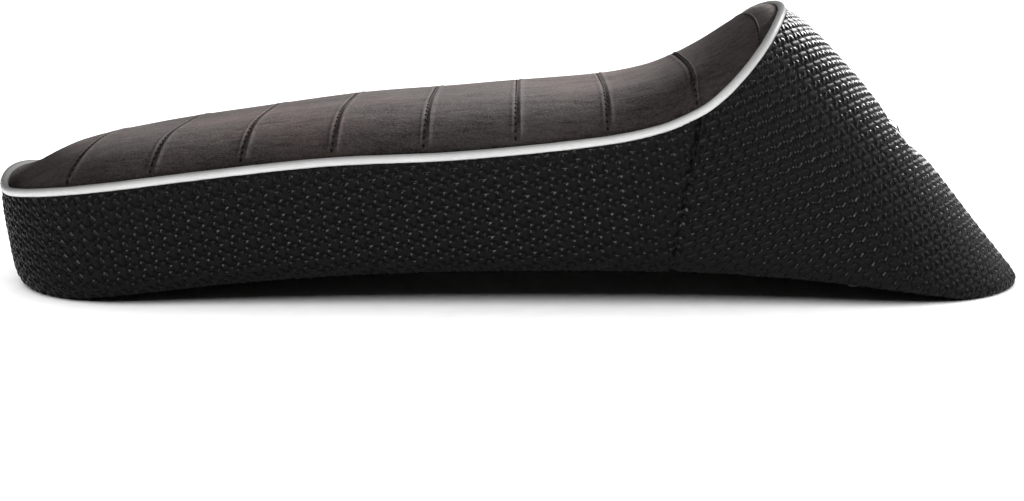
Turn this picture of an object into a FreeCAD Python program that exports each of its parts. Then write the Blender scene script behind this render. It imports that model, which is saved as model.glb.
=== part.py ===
"""Slope-back scooter seat. Millimetres, X from nose to tail, Y across, Z up from the ground."""
import FreeCAD
import Part
import math
import os

Vector = FreeCAD.Vector

# Overall form
SEAT_LENGTH = 774.0
HALF_WIDTH = 120.0
BASE_HALF_WIDTH = 114.0
NOSE_LENGTH = 134.0
NOSE_POWER = 2.3
NOSE_RAKE = 8.0
NOSE_LIFT = 9.0
NOSE_LIFT_HALF_WIDTH = 75.0
NOSE_HEIGHT = 71.0
HUMP_FROM_TAIL = 259.0
HUMP_FOOT_HEIGHT = 138.5
HUMP_LENGTH = 70.0
CREST_HEIGHT = 203.5
TAIL_ROUND = 150.0
TAIL_POWER = 2.4
TAIL_ROUNDING = 4.3
SEAM_LEAN = 16.0
WALL_BULGE = 3.0
BULGE_POWER = 4

# Swell of the rear slope, by share of the way down from the crest
TAIL_SWELL = [(0.0, 0.0), (0.07, 6.0), (0.2, 7.6), (0.48, 7.4), (0.68, 4.6), (0.8, 2.4), (1.0, 0.0)]

# Arched lower edge
ARCH_HEIGHT = 25.5
ARCH_FROM_NOSE = 71.0
ARCH_FROM_TAIL = 62.0
ARCH_PEAK_FROM_TAIL = 342.0
ARCH_POWER = 2.35
ARCH_SOFTNESS = 0.06

# Side line of the piping and crown of the cushion, by share of the run from nose to hump
EDGE_RISE = [
    (0.0, 0.0), (0.13, 0.14), (0.32, 0.33), (0.5, 0.48), (0.68, 0.55), (0.87, 0.7), (0.95, 0.83),
]
HUMP_RISE = [(0.0, 0.0), (0.2, 0.155), (0.43, 0.385), (0.67, 0.655), (0.86, 0.88), (1.0, 1.0)]
CROWN_LINE = [
    (0.0, 6.0), (0.03, 10.0), (0.06, 17.0), (0.1, 22.0), (0.2, 24.5), (0.4, 27.0), (0.7, 32.0), (0.9, 29.0),
    (1.0, 26.0), (1.06, 20.0), (1.2, 12.0),
]
CROWN_POWER = 4.0

# Covers, piping and sewn channels
VINYL = 2.0
SUEDE = 2.5
LAYER_GAP = 0.4
FOAM_SHOULDER = 10.0
FOAM_POCKET_ROOM = 2.0
PIPING_RADIUS = 3.0
PIPING_GAP = 0.4
SEAM_GAP = 0.3
FIRST_CHANNEL = 74.0
CHANNEL_PITCH = 63.5
CHANNEL_COUNT = 9
CHANNEL_HALF = 2.3
CHANNEL_DEPTH = 1.2
HEM_BEND = 12.0
HEM_WIDTH = 26.0
TAIL_HEM_BEND = 16.0
TAIL_HEM_WIDTH = 62.0

# Base pan
PAN_GAP = 0.6
PAN_CLEARANCE = 3.0
PAN_STEP = 6.0
PAN_TAIL_SETBACK = 28.0
PAN_DEPTH = 22.0
PAN_PLATE = 4.0
PAN_RIM = 18.0
RIB_WIDTH = 3.0
RIB_DEPTH = 5.0
RIB_PITCH = 62.0
RIB_COUNT = 7

# Rivets that hold the hem to the rim
RIVET_PITCH = 68.0
RIVET_COUNT = 8
RIVET_HEAD_RADIUS = 4.5
RIVET_HEAD = 1.4
RIVET_RADIUS = 2.0
RIVET_GRIP = 9.0
RIVET_FIT = 0.1

# Hinge bracket, catch striker and their M6 bolts
BOLT_RADIUS = 3.0
BOLT_FIT = 0.3
BOLT_HEAD_FLATS = 10.0
BOLT_HEAD = 4.0
NUT_BARREL_RADIUS = 4.0
NUT_FLANGE_RADIUS = 8.5
NUT_FLANGE = 1.5
NUT_RECESS = 2.5
NUT_FIT = 0.1
BRACKET_SHEET = 3.0
PAD_DROP = 7.0
PAD_MARGIN = 5.0
HINGE_FROM_NOSE = 119.85
HINGE_LENGTH = 44.0
HINGE_WIDTH = 96.0
HINGE_BOLT_SPREAD = 70.0
HINGE_BOLT_SETBACK = 13.0
HINGE_EAR_GAP = 36.0
HINGE_EAR_DROP = 15.0
HINGE_EAR_RADIUS = 9.0
HINGE_BORE_RADIUS = 4.1
CATCH_FROM_TAIL = 134.15
CATCH_LENGTH = 34.0
CATCH_WIDTH = 92.0
CATCH_BOLT_SPREAD = 72.0
STRIKER_RADIUS = 3.0
STRIKER_SPREAD = 30.0
STRIKER_DROP = 16.0

# Rubber buffers
BUFFER_FROM_NOSE = 236.85
BUFFER_SPAN = 300.0
BUFFER_INSET = 44.0
BUFFER_RADIUS = 12.0
BUFFER_TAPER = 2.0
BUFFER_HEIGHT = 18.0
BUFFER_BORE_RADIUS = 2.3
BUFFER_RECESS_RADIUS = 5.0
BUFFER_RECESS = 6.0
SCREW_RADIUS = 2.0
SCREW_HEAD_RADIUS = 4.0
SCREW_HEAD = 2.5
SCREW_BITE = 5.0
SCREW_FIT = 0.1

# Rear badge
BADGE_SHARE = 0.465
BADGE_RADIUS = 16.0
BADGE_PLATE = 2.0
BADGE_DOME_RADIUS = 9.0
BADGE_DOME = 3.2
BADGE_STUD_RADIUS = 2.0
BADGE_STUD = 12.0
BADGE_FIT = 0.3
DENT_DEPTH = 5.0
DENT_FLAT_RADIUS = 22.0
DENT_RADIUS = 31.0
DENT_STRETCH = 1.8
WASHER_RADIUS = 9.0
WASHER = 1.5
WASHER_GAP = 0.9
BADGE_NUT_FLATS = 7.0
BADGE_NUT = 3.2

# Poles in the nets of the curved faces, and the small steps that find their slopes
WALL_ROWS = 18
HEM_ROWS = 4
BAND_COLUMNS = 83
TAIL_COLUMNS = 75
TOP_COLUMNS = 17
PANEL_ROWS = 6
FOAM_ROWS = 41
PIPING_ROWS = 62
PAN_COLUMNS = 128
SLAB_COLUMNS = 90
LOOP_STEP = 0.004
CHANNEL_STEP = 0.0005
HALVINGS = 40

# How far the top cover's rows take to bend from the round ends to straight across
END_BLEND = 60.0

# How far a drill or cutter runs past the face that it leaves by
OVERRUN = 1.0

# Derived places along the seat
START_X = (TAIL_ROUNDING - SEAT_LENGTH) / 2
NOSE_X = START_X + PIPING_RADIUS
TAIL_X = START_X + SEAT_LENGTH
NOSE_ROOT = NOSE_X + NOSE_LENGTH
HUMP_ROOT = TAIL_X - HUMP_FROM_TAIL
CREST_X = HUMP_ROOT + HUMP_LENGTH
SEAM_FOOT = HUMP_ROOT - SEAM_LEAN
TAIL_ROOT = TAIL_X - TAIL_ROUND
ARCH_NEAR = START_X + ARCH_FROM_NOSE
ARCH_FAR = TAIL_X - ARCH_FROM_TAIL
ARCH_CENTRE = (ARCH_NEAR + ARCH_FAR) / 2
ARCH_PEAK = TAIL_X - ARCH_PEAK_FROM_TAIL
PIPING_ROOM = PIPING_RADIUS + PIPING_GAP
PAN_INSET = VINYL + PAN_CLEARANCE
HEM_TOP = VINYL + PAN_GAP
PLATE_TOP = PAN_DEPTH + PAN_PLATE

# Shares of the half loop, from nose centre to tail centre, kept close to the real lengths
ROUND_FACTOR = 0.83
NOSE_ARC = ROUND_FACTOR * (NOSE_LENGTH + HALF_WIDTH)
FLANK_RUN = HUMP_ROOT - NOSE_ROOT
TAIL_STRAIGHT = TAIL_ROOT - SEAM_FOOT
TAIL_ARC = ROUND_FACTOR * (TAIL_ROUND + BASE_HALF_WIDTH)
HALF_LOOP = NOSE_ARC + FLANK_RUN + TAIL_STRAIGHT + TAIL_ARC
NOSE_END = NOSE_ARC / HALF_LOOP
FLANK_END = (NOSE_ARC + FLANK_RUN) / HALF_LOOP
SEAM_SHARE = SEAM_GAP / 2 / HALF_LOOP
TAIL_SPLIT = TAIL_STRAIGHT / (TAIL_STRAIGHT + TAIL_ARC)
CORNER_ANGLE = math.radians(60)
NOSE_CORNER = NOSE_END * (1 - CORNER_ANGLE / math.radians(90))
CREST_CORNER = FLANK_END + (1 - FLANK_END) * CORNER_ANGLE / math.radians(90)


def clamp(value, low=0.0, high=1.0):
    return max(low, min(high, value))


def ease(value):
    t = clamp(value)
    return t * t * (3 - 2 * t)


def smooth_line(points, x):
    """Height at x on a smooth curve through points, each an (x, height) pair."""
    x = clamp(x, points[0][0], points[-1][0])
    last = len(points) - 1
    i = next(k for k in range(last) if x <= points[k + 1][0])

    def slope(k):
        a, b = points[max(k - 1, 0)], points[min(k + 1, last)]
        return (b[1] - a[1]) / (b[0] - a[0])

    (x0, h0), (x1, h1) = points[i], points[i + 1]
    run = x1 - x0
    t = (x - x0) / run
    return (
        h0 * (1 + 2 * t) * (1 - t) ** 2
        + h1 * t * t * (3 - 2 * t)
        + run * t * (1 - t) * (slope(i) * (1 - t) - slope(i + 1) * t)
    )


def rounded_end(angle, length, half_width, power):
    """Point on a rounded end: angle 0 is on the flank, a right angle is on the centre line."""
    c, s = abs(math.cos(angle)), abs(math.sin(angle))
    reach = (c**power + s**power) ** (-1 / power)
    return length * reach * s, half_width * reach * c


def arch(x):
    """Height of the lower edge at x."""
    reach = ARCH_FAR - ARCH_PEAK if x > ARCH_PEAK else ARCH_NEAR - ARCH_PEAK
    rise = 1 - ((x - ARCH_PEAK) / reach) ** ARCH_POWER
    return ARCH_HEIGHT * (rise + math.sqrt(rise**2 + ARCH_SOFTNESS**2)) / 2


EDGE_POINTS = [
    (NOSE_X + share * (HUMP_ROOT - NOSE_X), NOSE_HEIGHT + rise * (HUMP_FOOT_HEIGHT - NOSE_HEIGHT))
    for share, rise in EDGE_RISE
] + [
    (HUMP_ROOT + share * HUMP_LENGTH, HUMP_FOOT_HEIGHT + rise * (CREST_HEIGHT - HUMP_FOOT_HEIGHT))
    for share, rise in HUMP_RISE
]
CROWN_POINTS = [(NOSE_X + share * (HUMP_ROOT - NOSE_X), rise) for share, rise in CROWN_LINE]


def edge_height(x, y):
    """Height of the piping's centre line above the ground."""
    near_nose = clamp((NOSE_ROOT - x) / NOSE_LENGTH) ** 2
    across = clamp(1 - (y / NOSE_LIFT_HALF_WIDTH) ** 2) ** 2
    return smooth_line(EDGE_POINTS, x) + NOSE_LIFT * near_nose * across


def unfold(loop):
    """Share of the half loop and side of the seat for a place on the loop: 0 nose, 1 tail."""
    if loop < -1:
        loop += 2
    if loop < 0:
        return -loop, -1
    if loop > 1:
        return 2 - loop, -1
    return loop, 1


def edge_plan(loop, inset=0.0):
    """Plan of the piping loop, or of a line a set distance inside it."""
    share, side = unfold(loop)
    half = HALF_WIDTH - inset
    if share <= NOSE_END:
        angle = math.radians(90) * (1 - share / NOSE_END)
        dx, y = rounded_end(angle, NOSE_LENGTH - inset, half, NOSE_POWER)
        return NOSE_ROOT - dx, side * y
    if share <= FLANK_END:
        return NOSE_ROOT + (share - NOSE_END) / (FLANK_END - NOSE_END) * FLANK_RUN, side * half
    angle = math.radians(90) * (share - FLANK_END) / (1 - FLANK_END)
    dx, y = rounded_end(angle, HUMP_LENGTH - inset, half, 2)
    return HUMP_ROOT + dx, side * y


def base_plan(loop):
    """Plan of the seat's lower edge."""
    share, side = unfold(loop)
    if share <= NOSE_END:
        angle = math.radians(90) * (1 - share / NOSE_END)
        dx, y = rounded_end(angle, NOSE_LENGTH - NOSE_RAKE, BASE_HALF_WIDTH, NOSE_POWER)
        return NOSE_ROOT - dx, side * y
    if share <= FLANK_END:
        run = (share - NOSE_END) / (FLANK_END - NOSE_END)
        return NOSE_ROOT + run * (SEAM_FOOT - NOSE_ROOT), side * BASE_HALF_WIDTH
    run = (share - FLANK_END) / (1 - FLANK_END)
    if run <= TAIL_SPLIT:
        return SEAM_FOOT + run / TAIL_SPLIT * TAIL_STRAIGHT, side * BASE_HALF_WIDTH
    angle = math.radians(90) * (run - TAIL_SPLIT) / (1 - TAIL_SPLIT)
    dx, y = rounded_end(angle, TAIL_ROUND, BASE_HALF_WIDTH, TAIL_POWER)
    return TAIL_ROOT + dx, side * y


def edge_point(loop):
    x, y = edge_plan(loop)
    return Vector(x, y, edge_height(x, y))


def base_point(loop):
    x, y = base_plan(loop)
    return Vector(x, y, arch(x))


def base_inward(loop):
    """Level direction from the lower edge towards the middle of the seat."""
    along = base_point(loop + LOOP_STEP) - base_point(loop - LOOP_STEP)
    return Vector(along.y, -along.x, 0).normalize()


def straight_wall(loop, share):
    top = edge_point(loop)
    return top + (base_point(loop) - top) * share


def wall_normal(loop, share):
    """Outward normal of the wall between the piping and the lower edge."""
    along = straight_wall(loop + LOOP_STEP, share) - straight_wall(loop - LOOP_STEP, share)
    down = base_point(loop) - edge_point(loop)
    return along.cross(down).normalize()


def tail_blend(loop, flank, tail):
    """Value that goes smoothly from its flank size to its tail size behind the side seam."""
    share, _ = unfold(loop)
    return flank + (tail - flank) * ease((share - FLANK_END) / (1 - FLANK_END))


def wall_swell(loop, share):
    """How far the padding swells the wall outward."""
    flank = WALL_BULGE * (1 - abs(2 * share - 1) ** BULGE_POWER)
    return tail_blend(loop, flank, smooth_line(TAIL_SWELL, share))


BADGE_SEAT = straight_wall(1, BADGE_SHARE)
BADGE_AXIS = wall_normal(1, BADGE_SHARE)


def wall(loop, share, depth=0.0):
    """Point on the padded wall, or a set depth inside it, with the dent for the badge."""
    point = straight_wall(loop, share)
    swell = wall_swell(loop, share)
    offset = point - BADGE_SEAT
    reach = Vector(offset.x, offset.y / DENT_STRETCH, offset.z).Length
    dent = DENT_DEPTH * (1 - ease((reach - DENT_FLAT_RADIUS) / (DENT_RADIUS - DENT_FLAT_RADIUS)))
    return point + wall_normal(loop, share) * (swell - dent - depth)


def wall_share_at(loop, height, depth=0.0):
    """Share down the wall at which it stands a set height above the lower edge."""
    low, high = 0.0, 1.0
    for _ in range(HALVINGS):
        middle = (low + high) / 2
        point = wall(loop, middle, depth)
        if point.z > arch(point.x) + height:
            low = middle
        else:
            high = middle
    return low


def crown(x):
    return smooth_line(CROWN_POINTS, x)


def top_height(x, y):
    """Height of the cushion's top over a place in plan."""
    along, power = 0.0, 2.0
    if x < NOSE_ROOT:
        along, power = (NOSE_ROOT - x) / NOSE_LENGTH, NOSE_POWER
    elif x > HUMP_ROOT:
        along = (x - HUMP_ROOT) / HUMP_LENGTH
    outward = clamp((along**power + (abs(y) / HALF_WIDTH) ** power) ** (1 / power))
    return edge_height(x, y) + crown(x) * (1 - outward**CROWN_POWER)


def top_plan(loop, across):
    """Plan of the top cover: loop runs from nose corner to crest corner, across from -1 to 1."""
    x, y = edge_plan(loop, PIPING_ROOM)
    front_x, front_y = edge_plan(NOSE_CORNER, PIPING_ROOM)
    rear_x, rear_y = edge_plan(CREST_CORNER, PIPING_ROOM)
    nose = NOSE_LENGTH - PIPING_ROOM
    hump = HUMP_LENGTH - PIPING_ROOM
    half = HALF_WIDTH - PIPING_ROOM
    nose_bow = nose * (1 - (abs(across) * front_y / half) ** NOSE_POWER) ** (1 / NOSE_POWER)
    crest_bow = hump * math.sqrt(1 - (across * rear_y / half) ** 2)
    front_fade = clamp(1 - (x - front_x) / END_BLEND) ** 2
    rear_fade = clamp(1 - (rear_x - x) / END_BLEND) ** 2
    shift = (HUMP_ROOT + crest_bow - rear_x) * rear_fade - (front_x - NOSE_ROOT + nose_bow) * front_fade
    return x + shift, across * y


def top_point(loop, across, depth=0.0, groove=0.0):
    """Point on the top cover, or a set depth inside it."""

    def on_top(a, b):
        x, y = top_plan(a, b)
        return Vector(x, y, top_height(x, y))

    low, high = max(loop - LOOP_STEP, NOSE_CORNER), min(loop + LOOP_STEP, CREST_CORNER)
    left, right = max(across - LOOP_STEP, -1), min(across + LOOP_STEP, 1)
    along = on_top(high, across) - on_top(low, across)
    normal = along.cross(on_top(loop, right) - on_top(loop, left)).normalize()
    return on_top(loop, across) - normal * (depth + groove)


def spread(count, low, high):
    """Places for the poles of a clamped cubic, so that its ends leave along the true tangent."""
    spans = max(count - 3, 1)
    knots = [0] * 3 + list(range(spans + 1)) + [spans] * 3
    return [low + (high - low) * sum(knots[i + 1 : i + 4]) / 3 / spans for i in range(count)]


def knot_line(count, closed):
    """Degree, knots and their multiplicities for one direction of a net of poles."""
    if closed:
        return 3, list(range(count + 1)), [1] * (count + 1)
    degree = min(3, count - 1)
    spans = count - degree
    return degree, list(range(spans + 1)), [degree + 1] + [1] * (spans - 1) + [degree + 1]


def net_face(net, closed=False):
    """Smooth face over a net of poles, given as rows of points that may be closed loops."""
    degree_u, knots_u, counts_u = knot_line(len(net), False)
    degree_v, knots_v, counts_v = knot_line(len(net[0]), closed)
    surface = Part.BSplineSurface()
    surface.buildFromPolesMultsKnots(
        net, counts_u, counts_v, knots_u, knots_v, False, closed, degree_u, degree_v
    )
    return surface.toShape()


def solid_from(faces):
    """Closed solid sewn from faces that share their edges."""
    shell = Part.makeShell(faces)
    shell.sewShape()
    if shell.ShapeType != "Shell":
        shell = shell.Shells[0]
    solid = Part.Solid(shell)
    if solid.Volume < 0:
        solid.reverse()
    return solid


def column(net, index):
    return [row[index] for row in net]


def sheet_solid(outer, inner):
    """Solid between two nets of like layout, closed along their four edges."""
    edges = [
        [outer[0], inner[0]],
        [outer[-1], inner[-1]],
        [column(outer, 0), column(inner, 0)],
        [column(outer, -1), column(inner, -1)],
    ]
    return solid_from([net_face(net) for net in [outer, inner] + edges])


def wrap_section(loop, depth):
    """Poles of a side cover from under the piping, down the wall and round under the pan."""
    foot = base_point(loop)
    run = (foot - edge_point(loop)).Length
    inward = base_inward(loop)
    bend = tail_blend(loop, HEM_BEND, TAIL_HEM_BEND)
    first, last = PIPING_ROOM / run, 1 - bend / run
    rows = [wall(loop, share, depth) for share in spread(WALL_ROWS, first, last)]
    rows.append(foot + inward * depth + Vector(0, 0, depth))
    for reach in spread(HEM_ROWS, bend, tail_blend(loop, HEM_WIDTH, TAIL_HEM_WIDTH)):
        place = foot + inward * reach
        rows.append(Vector(place.x, place.y, arch(place.x) + depth))
    return rows


def wrapped_cover(start, end, columns):
    places = spread(columns, start, end)
    return sheet_solid([wrap_section(p, 0) for p in places], [wrap_section(p, VINYL) for p in places])


def side_band():
    return wrapped_cover(-FLANK_END + SEAM_SHARE, FLANK_END - SEAM_SHARE, BAND_COLUMNS)


def tail_cover():
    cover = wrapped_cover(FLANK_END + SEAM_SHARE, 2 - FLANK_END - SEAM_SHARE, TAIL_COLUMNS)
    return cover.cut(badge_rod(BADGE_STUD_RADIUS + BADGE_FIT, -BADGE_STUD, BADGE_STUD))


def channel_places():
    """Loop places of the sewn channels, a set pitch apart along the piping."""
    places = []
    loop = NOSE_CORNER
    due = FIRST_CHANNEL - (edge_point(loop).x - START_X)
    last = edge_point(loop)
    while len(places) < CHANNEL_COUNT and loop < CREST_CORNER:
        loop += CHANNEL_STEP
        here = edge_point(loop)
        due -= Vector(here.x - last.x, 0, here.z - last.z).Length
        last = here
        if due <= 0:
            places.append(loop)
            due += CHANNEL_PITCH
    return places


def top_cover():
    """Suede top with a sewn groove at every channel."""
    acrosses = spread(TOP_COLUMNS, -1, 1)
    half = CHANNEL_HALF / HALF_LOOP
    breaks = [(NOSE_CORNER, 0.0)]
    for place in channel_places():
        breaks += [(place - half, 0.0), (place, CHANNEL_DEPTH), (place + half, 0.0)]
    breaks.append((CREST_CORNER, 0.0))
    faces = []
    for (start, start_groove), (end, end_groove) in zip(breaks, breaks[1:]):
        rows = [(start, start_groove), (end, end_groove)]
        if start_groove == end_groove:
            rows = [(place, 0.0) for place in spread(PANEL_ROWS, start, end)]
        outer = [[top_point(p, a, 0, g) for a in acrosses] for p, g in rows]
        inner = [[top_point(p, a, SUEDE, g) for a in acrosses] for p, g in rows]
        faces += [net_face(outer), net_face(inner)]
        for index in (0, -1):
            faces.append(net_face([column(outer, index), column(inner, index)]))
    for place in (NOSE_CORNER, CREST_CORNER):
        faces.append(net_face([[top_point(place, a, depth) for a in acrosses] for depth in (0, SUEDE)]))
    return solid_from(faces)


def piping():
    """Round welt along the whole loop between the top and the side covers."""
    corner = math.sqrt(2)

    def half_round(loop, start):
        ahead = (edge_point(loop + LOOP_STEP) - edge_point(loop - LOOP_STEP)).normalize()
        out = wall_normal(loop, 0)
        up = out.cross(ahead).normalize()
        poles = []
        for k in range(5):
            turn = math.radians(start + 45 * k)
            reach = PIPING_RADIUS * (corner if k % 2 else 1)
            poles.append(edge_point(loop) + (out * math.cos(turn) + up * math.sin(turn)) * reach)
        return poles

    faces = []
    for low in (-1, 0):
        places = spread(PIPING_ROWS, low, low + 1)
        for start in (0, 180):
            faces.append(half_tube_face([half_round(place, start) for place in places]))
    return solid_from(faces)


def half_tube_face(net):
    """Face with a half-round section, from rows of five poles each."""
    degree, knots, counts = knot_line(len(net), False)
    weights = [[1, math.sqrt(0.5), 1, math.sqrt(0.5), 1] for _ in net]
    surface = Part.BSplineSurface()
    surface.buildFromPolesMultsKnots(
        net, counts, [3, 2, 3], knots, [0, 1, 2], False, False, degree, 2, weights
    )
    return surface.toShape()


def coons(front, rear, left, right):
    """Net of poles that fills four edges: rows run from front to rear, columns left to right."""
    rows, columns = len(left), len(front)
    net = []
    for i in range(rows):
        u = i / (rows - 1)
        line = []
        for j in range(columns):
            v = j / (columns - 1)
            ruled = front[j] * (1 - u) + rear[j] * u + left[i] * (1 - v) + right[i] * v
            front_chord = front[0] * (1 - v) + front[-1] * v
            rear_chord = rear[0] * (1 - v) + rear[-1] * v
            line.append(ruled - front_chord * (1 - u) - rear_chord * u)
        net.append(line)
    return net


def loop_at_width(y, low, high):
    """Loop place between low and high at which the top cover's edge stands y from the centre line."""
    falling = edge_plan(high, PIPING_ROOM)[1] < edge_plan(low, PIPING_ROOM)[1]
    for _ in range(HALVINGS):
        middle = (low + high) / 2
        wide = edge_plan(middle, PIPING_ROOM)[1] > y
        if wide == falling:
            low = middle
        else:
            high = middle
    return low


def foam_core():
    """Moulded foam that fills the covers down to the pan, with pockets for the badge's fixing."""
    stations = spread(FOAM_ROWS, NOSE_CORNER, CREST_CORNER)
    acrosses = spread(TOP_COLUMNS, -1, 1)
    top_depth = SUEDE + CHANNEL_DEPTH + LAYER_GAP
    side_depth = VINYL + LAYER_GAP
    floor = PLATE_TOP + LAYER_GAP

    def wall_line(loop, edge):
        last = wall_share_at(loop, floor, side_depth)
        run = (base_point(loop) - edge_point(loop)).Length
        first = FOAM_SHOULDER / run
        return [edge] + [wall(loop, share, side_depth) for share in spread(WALL_ROWS, first, last)]

    def end_line(corner, centre, across):
        width = abs(across) * edge_plan(corner, PIPING_ROOM)[1]
        low, high = sorted((corner, centre))
        place = loop_at_width(width, low, high)
        edge = top_point(corner, across, top_depth)
        line = wall_line(place, edge)
        if across < 0:
            line = [line[0]] + [Vector(p.x, -p.y, p.z) for p in line[1:]]
        return line

    top = [[top_point(p, a, top_depth) for a in acrosses] for p in stations]
    right = [wall_line(p, row[-1]) for p, row in zip(stations, top)]
    left = [[Vector(p.x, -p.y, p.z) for p in line] for line in right]
    front = [end_line(NOSE_CORNER, 0.0, a) for a in acrosses]
    rear = [end_line(CREST_CORNER, 1.0, a) for a in acrosses]
    front[0], front[-1] = left[0], right[0]
    rear[0], rear[-1] = left[-1], right[-1]
    under = coons(column(front, -1), column(rear, -1), column(left, -1), column(right, -1))
    under = [[Vector(p.x, p.y, arch(p.x) + floor) for p in row] for row in under]
    for i in range(len(stations)):
        under[i][0], under[i][-1] = left[i][-1], right[i][-1]
    under[0], under[-1] = column(front, -1), column(rear, -1)
    foam = solid_from([net_face(net) for net in (top, left, right, front, rear, under)])
    pocket_depth = DENT_DEPTH + BADGE_STUD + VINYL
    return foam.cut(badge_rod(WASHER_RADIUS + FOAM_POCKET_ROOM, -pocket_depth, DENT_RADIUS))


def slab(low, high):
    """Everything between two curves that follow the arched lower edge."""
    xs = spread(SLAB_COLUMNS, -SEAT_LENGTH, SEAT_LENGTH)
    width = 4 * HALF_WIDTH

    def line(height):
        return [Vector(x, -width / 2, arch(x) + height) for x in xs]

    def edge(points):
        degree, knots, counts = knot_line(len(points), False)
        curve = Part.BSplineCurve()
        curve.buildFromPolesMultsKnots(points, counts, knots, False, degree)
        return curve.toShape()

    bottom, top = line(low), line(high)
    ends = [Part.makeLine(bottom[0], top[0]), Part.makeLine(bottom[-1], top[-1])]
    face = Part.Face(Part.Wire(Part.__sortEdges__([edge(bottom), edge(top)] + ends)))
    return face.extrude(Vector(0, width, 0))


def pan_body(inset):
    """Block inside the covers' walls, whose sides lean as the walls do."""
    low, high = -PLATE_TOP, ARCH_HEIGHT + PLATE_TOP + PAN_PLATE

    def level(loop, height):
        top, foot = edge_point(loop), base_point(loop)
        on_wall = top + (foot - top) * ((top.z - height) / (top.z - foot.z))
        return on_wall + base_inward(loop) * tail_blend(loop, inset, inset + PAN_TAIL_SETBACK)

    loops = [-1 + 2 * i / PAN_COLUMNS for i in range(PAN_COLUMNS)]
    rows = [[level(loop, z) for loop in loops] for z in (low, high)]
    side = net_face(rows, True)
    caps = [Part.Face(Part.Wire(edge)) for edge in side.Edges if edge.isClosed()]
    return solid_from([side] + caps)


def drum(x, y, low, high, radius):
    return Part.makeCylinder(radius, high - low, Vector(x, y, low))


def block(x, y, low, high, length, width):
    return Part.makeBox(length, width, high - low, Vector(x - length / 2, y - width / 2, low))


def hexagon(x, y, low, high, flats):
    corner = flats / math.sqrt(3)
    turns = [math.radians(60 * k) for k in range(7)]
    points = [Vector(x + corner * math.cos(t), y + corner * math.sin(t), low) for t in turns]
    return Part.Face(Part.makePolygon(points)).extrude(Vector(0, 0, high - low))


HINGE_X = START_X + HINGE_FROM_NOSE
CATCH_X = TAIL_X - CATCH_FROM_TAIL
HINGE_Z = arch(HINGE_X) + PAN_DEPTH - PAD_DROP
CATCH_Z = arch(CATCH_X) + PAN_DEPTH - PAD_DROP
HINGE_BOLT_X = HINGE_X + HINGE_BOLT_SETBACK
HINGE_BOLTS = [(HINGE_BOLT_X, side * HINGE_BOLT_SPREAD / 2, HINGE_Z) for side in (-1, 1)]
CATCH_BOLTS = [(CATCH_X, side * CATCH_BOLT_SPREAD / 2, CATCH_Z) for side in (-1, 1)]
BUFFER_Y = BASE_HALF_WIDTH - BUFFER_INSET
BUFFER_FRONT = START_X + BUFFER_FROM_NOSE
BUFFER_XS = {"front": BUFFER_FRONT, "rear": BUFFER_FRONT + BUFFER_SPAN}
BUFFER_YS = {"left": -BUFFER_Y, "right": BUFFER_Y}

def buffer_seat(x):
    """Height of the flat pad that a buffer hangs from."""
    return arch(x) + PAN_DEPTH - RIB_DEPTH


def nut_seat(x):
    return arch(x) + PLATE_TOP - NUT_RECESS


def rivet_places():
    """Places of the hem's rivets, in the middle of the rim, along both flanks."""
    reach = PAN_INSET + (HEM_WIDTH - PAN_INSET) / 2
    start = ARCH_CENTRE - RIVET_PITCH * (RIVET_COUNT - 1) / 2
    xs = [start + RIVET_PITCH * k for k in range(RIVET_COUNT)]
    return [(x, side * (base_half_width(x) - reach)) for x in xs for side in (-1, 1)]


def base_half_width(x):
    """Half width of the lower edge at x."""
    if x < NOSE_ROOT:
        share, power = (NOSE_ROOT - x) / (NOSE_LENGTH - NOSE_RAKE), NOSE_POWER
    elif x > TAIL_ROOT:
        share, power = (x - TAIL_ROOT) / TAIL_ROUND, TAIL_POWER
    else:
        return BASE_HALF_WIDTH
    return BASE_HALF_WIDTH * (1 - clamp(share) ** power) ** (1 / power)


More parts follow.
